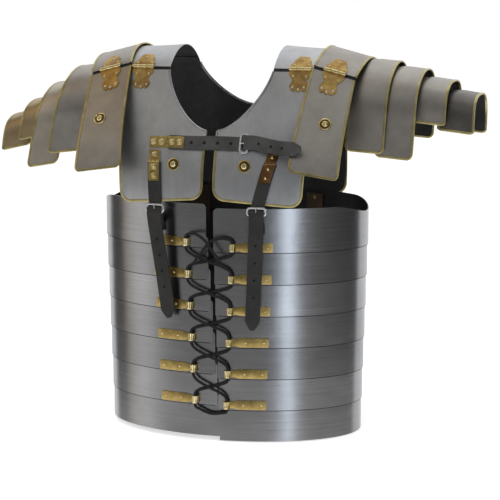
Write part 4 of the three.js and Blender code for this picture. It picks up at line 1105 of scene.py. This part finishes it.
def brass_fitting(piece, start, way, plate_length, leaf_length, look, rivets):
    """Brass plate, knuckle and leaf of a strap: start and way are in the breast plates' face's own measures."""
    face, start, way = BREAST_FACE, np.array(start, float), np.array(way, float)
    at = lambda s: start + way * s
    crosswise = np.array([0, 1] if abs(way[0]) > abs(way[1]) else [1, 0])
    knuckle = plate_length + TO_KNUCKLE
    strap(piece, face, [at(s) for s in np.linspace(0, knuckle - 1, 10)], crosswise * FITTING_HALF, STRAP_SEAT - 0.5,
          STRAP_SEAT + 1, look, corner=0.35)
    strap(piece, face, [at(s) for s in np.linspace(knuckle + 1, knuckle + 1.7 + leaf_length, 12)],
          crosswise * FITTING_HALF, STRAP_TOP - 0.4, STRAP_TOP + 1, look, widths=[1] * 10 + [0.97, 0.9], corner=0.35)
    axis = lifted(face, STRAP_SEAT + 2.2, FRONT)
    for low, high in ((-FITTING_HALF, -3.0), (-2.7, 2.7), (3.0, FITTING_HALF)):
        p, q = (spot(axis, *(at(knuckle) + crosswise * w)) for w in (low, high))
        span = float(np.linalg.norm(q - p))
        revolve(piece, p, q - p, barrel(span, [(1.6, 0), (2.2, 0.3), (2.35, 0.8)]), look, 16)
    washer = look if look == "copper_brass" else "bright_brass"
    for s, lift in rivets:
        a, b = at(s)
        p, n = on_face(face, a, b)
        base = n * (lift - 0.1)
        rivet(piece, p + base, n, 2.3, "bright_brass", 0.75)
        revolve(piece, p + base, n, [(4.6, 0), (4.6, 0.35), (4.2, 0.75), (3.5, 0.8), (3.0, 0.4)], washer, 20)
        for turn in np.radians([45, 135, 225, 315]):
            rivet(piece, spot(face, a + 6.2 * math.cos(turn), b + 6.2 * math.sin(turn)) + base, n, 1.1, look, 0.6)


def make_chest_strap():
    face, low, high = BREAST_FACE, STRAP_SEAT + 1, STRAP_TOP + 1
    brass = Piece("chest_strap_brass")
    brass_fitting(brass, (CHEST_START_X, CHEST_DOWN), (1, 0), 27, 24, "strip_brass",
                  [(6, low), (19, low), (36, high), (48, high)])
    brass.done("breast_plates", slot="brass")
    band = Piece("chest_strap_leather")
    start = CHEST_START_X + 27 + TO_STRAP
    xs = np.linspace(start, CHEST_BUCKLE_X - ENTRY - LEATHER * 0.84, 60)
    route = [(x, CHEST_DOWN + 0.35 * math.sin((x - start) / 17)) for x in xs]
    # The strap is in the lighter leather: painted sheen where it faces up
    strap(band, face, route, (0, CHEST_HALF), STRAP_SEAT, STRAP_TOP, "painted_sheen_leather")
    holes(band, [(p + n * STRAP_TOP, n) for p, n in (on_face(face, x, CHEST_DOWN) for x in (-28, -8, 12, 32))])
    band.done("breast_plates", "chest_strap", slot="leather")
    buckle = Piece("chest_buckle_frame")
    _, up = make_buckle(buckle, CHEST_BUCKLE_X, CHEST_Z, False)
    buckle.done("breast_plates", slot="nickel")
    tab = Piece("chest_buckle_tab")
    strap(tab, face, [(x, CHEST_DOWN) for x in np.linspace(57, 89, 16)], (0, 8), 0.05, 2.0, "black_leather",
          widths=[1] * 13 + [0.95, 0.8, 0.55])
    p, n = on_face(face, 74, CHEST_DOWN)
    rivet(tab, p + n * 2, n, 2.0, "bright_brass")
    loop = ((60, 1.4), (60.6, 3.4), (59, FRAME_LIFT + 2.0), (57.4, 3.4), (57.6, 1.4))
    ribbon(tab, smooth_path([above_breast(x, CHEST_Z, lift) for x, lift in loop], 5), up, 7.5, 0.7, 0.4,
           "black_leather")
    tab.done("breast_plates", slot="leather")


def loose_end(name, body, node, points, across, half, hole_places, look="black_leather", curl=0.0):
    """Free end of a strap: leaves its buckle in front, with a pointed tip."""
    line = smooth_path(points, 14)
    reach = reach_of(line)
    total = reach[-1]
    s = np.unique(np.concatenate([np.linspace(0, total - TIP_LENGTH, 46), np.linspace(total - TIP_LENGTH, total, 14)]))
    line = np.stack([np.interp(s, reach, line[:, k]) for k in range(3)], -1)
    tangent = tangents(line)
    side = np.tile(across, (len(line), 1))
    side = unit(side - tangent * np.sum(side * tangent, -1, keepdims=True))
    up = np.cross(side, tangent)
    up *= np.sign(np.median(-up[:, 1]))
    line = line + up * (curl * np.sin(s / total * math.pi * 2.4) * (s / total))[:, None]
    inside = np.clip((s - (total - TIP_LENGTH)) / TIP_LENGTH, 0, 1)
    width = 1 - 0.68 * np.maximum(0.0, (inside - 0.2) / 0.8) ** 1.15
    piece = Piece(name)
    sweep(piece, line, side, up, rounded_box(half, LEATHER / 2, 0.7), look,
          scale=np.stack([width, np.ones(len(s))], -1))
    spots = [int(np.argmin(np.abs(s - h * total))) for h in hole_places]
    holes(piece, [(line[k] + up[k] * LEATHER / 2, up[k]) for k in spots])
    piece.done(body, node, slot="leather")


def make_chest_strap_end():
    x, lift = CHEST_BUCKLE_X - LEAVE, EXIT_LIFT + 1.2
    points = [above_breast(CHEST_BUCKLE_X - ENTRY, CHEST_Z, STRAP_SEAT + 1.2), above_breast(x, CHEST_Z, lift),
              above_breast(x + 14, CHEST_Z, lift + 3), (112.0, -159.8, -132.5), (146.0, -168.2, -132.0)]
    # The loose end is in the same lighter leather, painted sheen
    loose_end("chest_strap_end_leather_band", "chest_strap_end_leather", "chest_strap_end", points,
              np.array([0, 0, 1.0]), CHEST_HALF, (0.3, 0.52, 0.72), "painted_sheen_leather")


# The hanger straps: x of their fitting and of their buckle, x and z of the tail's tip, brass
HANGERS = {"right": (-85, -80, -63, -392, "strip_brass"), "left": (96, 74, 65, -404, "copper_brass")}


def make_hangers():
    face = BREAST_FACE
    entry_z, leave_z = HANGER_BUCKLE_Z + ENTRY, HANGER_BUCKLE_Z + LEAVE
    start_z, leave_down = CHEST_Z - CHEST_HALF - 1, breast_down(leave_z)
    low, high, frame_end = STRAP_SEAT + 1, STRAP_TOP + 1, HANGER_BUCKLE_Z - FRAME_HALF
    for label, (top_x, x, tip_x, tip_z, look) in HANGERS.items():
        brass = Piece(f"hanger_{label}_brass")
        start = np.array([top_x, breast_down(start_z)])
        run = np.array([x, breast_down(entry_z) + LEATHER * 0.84]) - start
        length = float(np.linalg.norm(run))
        way = run / length
        brass_fitting(brass, start, way, 13.5, 27, look, [(7, low), (24, high), (37, high)])
        brass.done("breast_plates", slot="brass")
        band = Piece(f"hanger_strap_{label}_leather")
        route = [start + way * s for s in np.linspace(13.5 + TO_STRAP, length, 40)]
        strap(band, face, route, (10, 0), STRAP_SEAT, STRAP_TOP, "black_leather")
        obj = band.done(None, f"hanger_strap_{label}", slot="leather")
        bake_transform(obj)
        buckle = Piece(f"hanger_buckle_{label}_frame")
        right, _ = make_buckle(buckle, x, HANGER_BUCKLE_Z, True)
        on_hoop = lambda below, lift: spot(hoop_face(0, -1), x, frame_end - below) - [0, lift, 0]
        line = [above_breast(x, frame_end, FRAME_LIFT),
                lerp(above_breast(x, frame_end - 4, FRAME_LIFT - 1), on_hoop(8, 2.5), 0.35),
                on_hoop(18, 3.2), on_hoop(24, 3.2), on_hoop(30, 3.2)]
        ribbon(buckle, smooth_path(line), right, 8, 1.0, 0.6, "black_leather")
        buckle.done("shoulders_and_top_hoop", f"hanger_buckle_{label}", slot="nickel")
        turn = [above_breast(x, z, lift + 1.2) for z, lift in ((entry_z, STRAP_SEAT), (leave_z, EXIT_LIFT),
                                                               (leave_z - 14, EXIT_LIFT))]
        tip = np.array([tip_x, turn[2][1] + 12, tip_z])
        loose_end(f"strap_tail_{label}_band", f"strap_tail_{label}_leather", f"strap_tail_{label}",
                  [*turn, lerp(turn[2], tip, 0.45) + [0, 0.8, 0], tip],
                  spot(face, x + 11, leave_down) - spot(face, x, leave_down), 11, (0.3, 0.44, 0.58, 0.72), curl=0.5)


make_chest_strap()
make_chest_strap_end()
make_hangers()


# Inner leathers

LEATHER_X, LEATHER_HALF, LEATHER_GAP, LEATHER_THICK = 95, 15, 0.75, 2.0


def make_inner_leathers():
    """Leathers down the inside of the girdle, following the hoops' taper, with a rivet in each hoop."""
    length = (HOOP_COUNT - 1) * HOOP_PITCH + HOOP_HEIGHT
    inner_face = STEEL + LEATHER_GAP
    for word, facing in (("front", -1), ("back", 1)):
        for label, side in SIDES:
            top, out = hoop_top(0, side), (0, facing, 0)
            nearest = lambda down: np.clip(down / HOOP_PITCH, 0, HOOP_COUNT - 1)
            face = lambda x, down: hoop_face(nearest(down), facing)(x, top - down)
            piece = Piece(f"inner_leather_{word}_{label}_band")
            route = [(side * LEATHER_X, d) for d in np.linspace(6, length - 6, 90)]
            strap(piece, face, route, (LEATHER_HALF, 0), -inner_face - LEATHER_THICK, -inner_face, "brown_leather",
                  out)
            for k in range(HOOP_COUNT):
                p, n = on_face(face, side * LEATHER_X, k * HOOP_PITCH + 12, out)
                rivet(piece, p - n * (STEEL + 2.7), -n, 3.0, "trim_brass")
            obj = piece.done("shoulders_and_top_hoop", f"inner_leather_{word}_{label}", slot="leather")
            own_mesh(obj)


make_inner_leathers()


# Studio

# Level and tint of the grey cards by bearing: 0 is straight in front of the object, positive towards its left
CARDS = [(-118, 0.60, 2), (-97, 0.54, 2), (-84, 0.56, 2), (-74, 0.95, 0), (-62, 0.95, 0), (-52, 0.46, 0),
         (-38, 0.20, 0), (-8, 0.15, 0), (12, 0.10, 0), (26, 0.12, 1), (31, 2.9, 1), (35, 2.9, 1), (40, 0.25, 0),
         (52, 0.14, 0), (68, 0.09, 0), (104, 0.05, 0), (128, 0.08, 0)]
# Plain, cool and warm
TINTS = ((1.03, 1.0, 0.96), (0.86, 0.95, 1.06), (1.12, 0.98, 0.84))
# Colour of the room above the cards by bearing, and below them all round
UPPER = [(-118, (0.72, 0.52, 0.28)), (-70, (0.66, 0.52, 0.34)), (-40, (0.46, 0.45, 0.43)), (40, (0.42, 0.42, 0.42)),
         (70, (0.30, 0.30, 0.30)), (128, (0.16, 0.16, 0.16))]
LOWER = (1.15, 1.12, 1.10)
CARD_COLUMNS, CARD_ROWS, CARD_RADIUS = 62, 38, 6
ROOM_LIGHT, FLOOR_COLOUR, FLOOR_GLOW = (0.42, 0.42, 0.42, 1), (0.88, 0.88, 0.88, 1), 0.62
FLOOR_SIZE, FLOOR_Z = 14.0, -0.578
# Lamps: bearing, height, distance, width and height, power
LAMPS = {"key": (31, 0.35, 3.0, (0.9, 2.4), 34), "left_fill": (-64, 0.6, 3.0, (0.9, 2.2), 20),
         "top": (-20, 3.0, 1.2, (2.2, 2.2), 44)}


def add_mesh(name, verts, faces, material):
    mesh = bpy.data.meshes.new(name)
    mesh.from_pydata(verts, [], faces)
    mesh.materials.append(material)
    obj = bpy.data.objects.new(name, mesh)
    bpy.context.scene.collection.objects.link(obj)
    return obj


def make_world():
    """A plain room: white where it is seen or mirrored, pale grey as light."""
    world = bpy.data.worlds.new("studio")
    bpy.context.scene.world = world
    world.use_nodes = True
    world.node_tree.nodes.clear()
    n = Tree(world.node_tree)
    rays = n.add("LightPath").outputs
    seen = rays["Is Camera Ray"]
    for kind in ("Is Glossy Ray", "Is Transmission Ray"):
        seen = n.math("MAXIMUM", seen, rays[kind])
    blend = n.add("MixShader", Fac=seen)
    n.feed(blend.inputs[1:], *(n.add("Background", Color=colour).outputs[0] for colour in (ROOM_LIGHT, WHITE)))
    n.add("OutputWorld", Surface=blend.outputs[0])


def make_cards():
    """Grey cards round the front of the object, that only mirror in it."""
    n = Nodes("cards")
    brightest = max(level for _, level, _ in CARDS)
    share = n.add("TexGradient", Vector=n.place)
    share.gradient_type = "RADIAL"

    # The gradient is a quarter straight in front of the object and one turn all round
    def by_bearing(colours):
        return n.ramp(share.outputs["Fac"], [(0.25 + bearing / 360, tuple(c / brightest for c in colour))
                                             for bearing, colour in colours])

    room = by_bearing([(bearing, tuple(level * c for c in TINTS[tint])) for bearing, level, tint in CARDS])
    height = n.add("SeparateXYZ", Vector=n.place).outputs["Z"]
    rise = n.math("ADD", n.math("DIVIDE", height, 2.0 * CARD_RADIUS), 0.5)
    room = n.mix(n.ramp(rise, [(0.26, 1.0), (0.37, 0.0)]), room, tuple(c / brightest for c in LOWER))
    room = n.mix(n.ramp(rise, [(0.64, 0.0), (0.80, 1.0)]), room, by_bearing(UPPER))
    n.surface(n.add("Emission", Color=room, Strength=brightest).outputs[0])
    bearings, heights = np.linspace(CARDS[0][0], CARDS[-1][0], CARD_COLUMNS), np.linspace(-72, 76, CARD_ROWS)
    b, h = np.meshgrid(np.radians(bearings), np.radians(heights), indexing="ij")
    verts = point(np.sin(b) * np.cos(h), -np.cos(b) * np.cos(h), np.sin(h)).reshape(-1, 3) * CARD_RADIUS
    cards = add_mesh("cards", verts.tolist(), grid_faces(CARD_COLUMNS, CARD_ROWS), n.material)
    for ray in ("camera", "diffuse", "transmission", "shadow", "volume_scatter"):
        setattr(cards, f"visible_{ray}", False)


def make_lamps():
    for name, (bearing, height, distance, size, power) in LAMPS.items():
        data = bpy.data.lights.new(name, "AREA")
        data.shape = "RECTANGLE"
        data.size, data.size_y = size
        data.energy = power
        lamp = bpy.data.objects.new(name, data)
        turn = math.radians(bearing)
        lamp.location = (math.sin(turn) * distance, -math.cos(turn) * distance, height)
        lamp.rotation_euler = (Vector((0, 0, -0.25)) - lamp.location).to_track_quat("-Z", "Y").to_euler()
        lamp.visible_glossy = False
        bpy.context.scene.collection.objects.link(lamp)


def make_floor():
    """Pale floor that shows nearly white and still takes a soft shadow; metal doesn't mirror it."""
    n = Nodes("floor")
    n.set(Base_Color=FLOOR_COLOUR, Roughness=0.9)
    seen = n.math("MULTIPLY", n.add("LightPath").outputs["Is Camera Ray"], FLOOR_GLOW)
    total = n.add("AddShader")
    glow = n.add("Emission", Color=WHITE, Strength=seen)
    n.feed(total.inputs, n.bsdf.outputs[0], glow.outputs[0])
    n.surface(total.outputs[0])
    corners = [(x * FLOOR_SIZE, y * FLOOR_SIZE, FLOOR_Z) for x, y in ((-1, -1), (1, -1), (1, 1), (-1, 1))]
    floor = add_mesh("floor", corners, [(0, 1, 2, 3)], n.material)
    floor.visible_glossy = False


bpy.context.scene.view_settings.view_transform = "Standard"
make_world()
make_cards()
make_lamps()
make_floor()
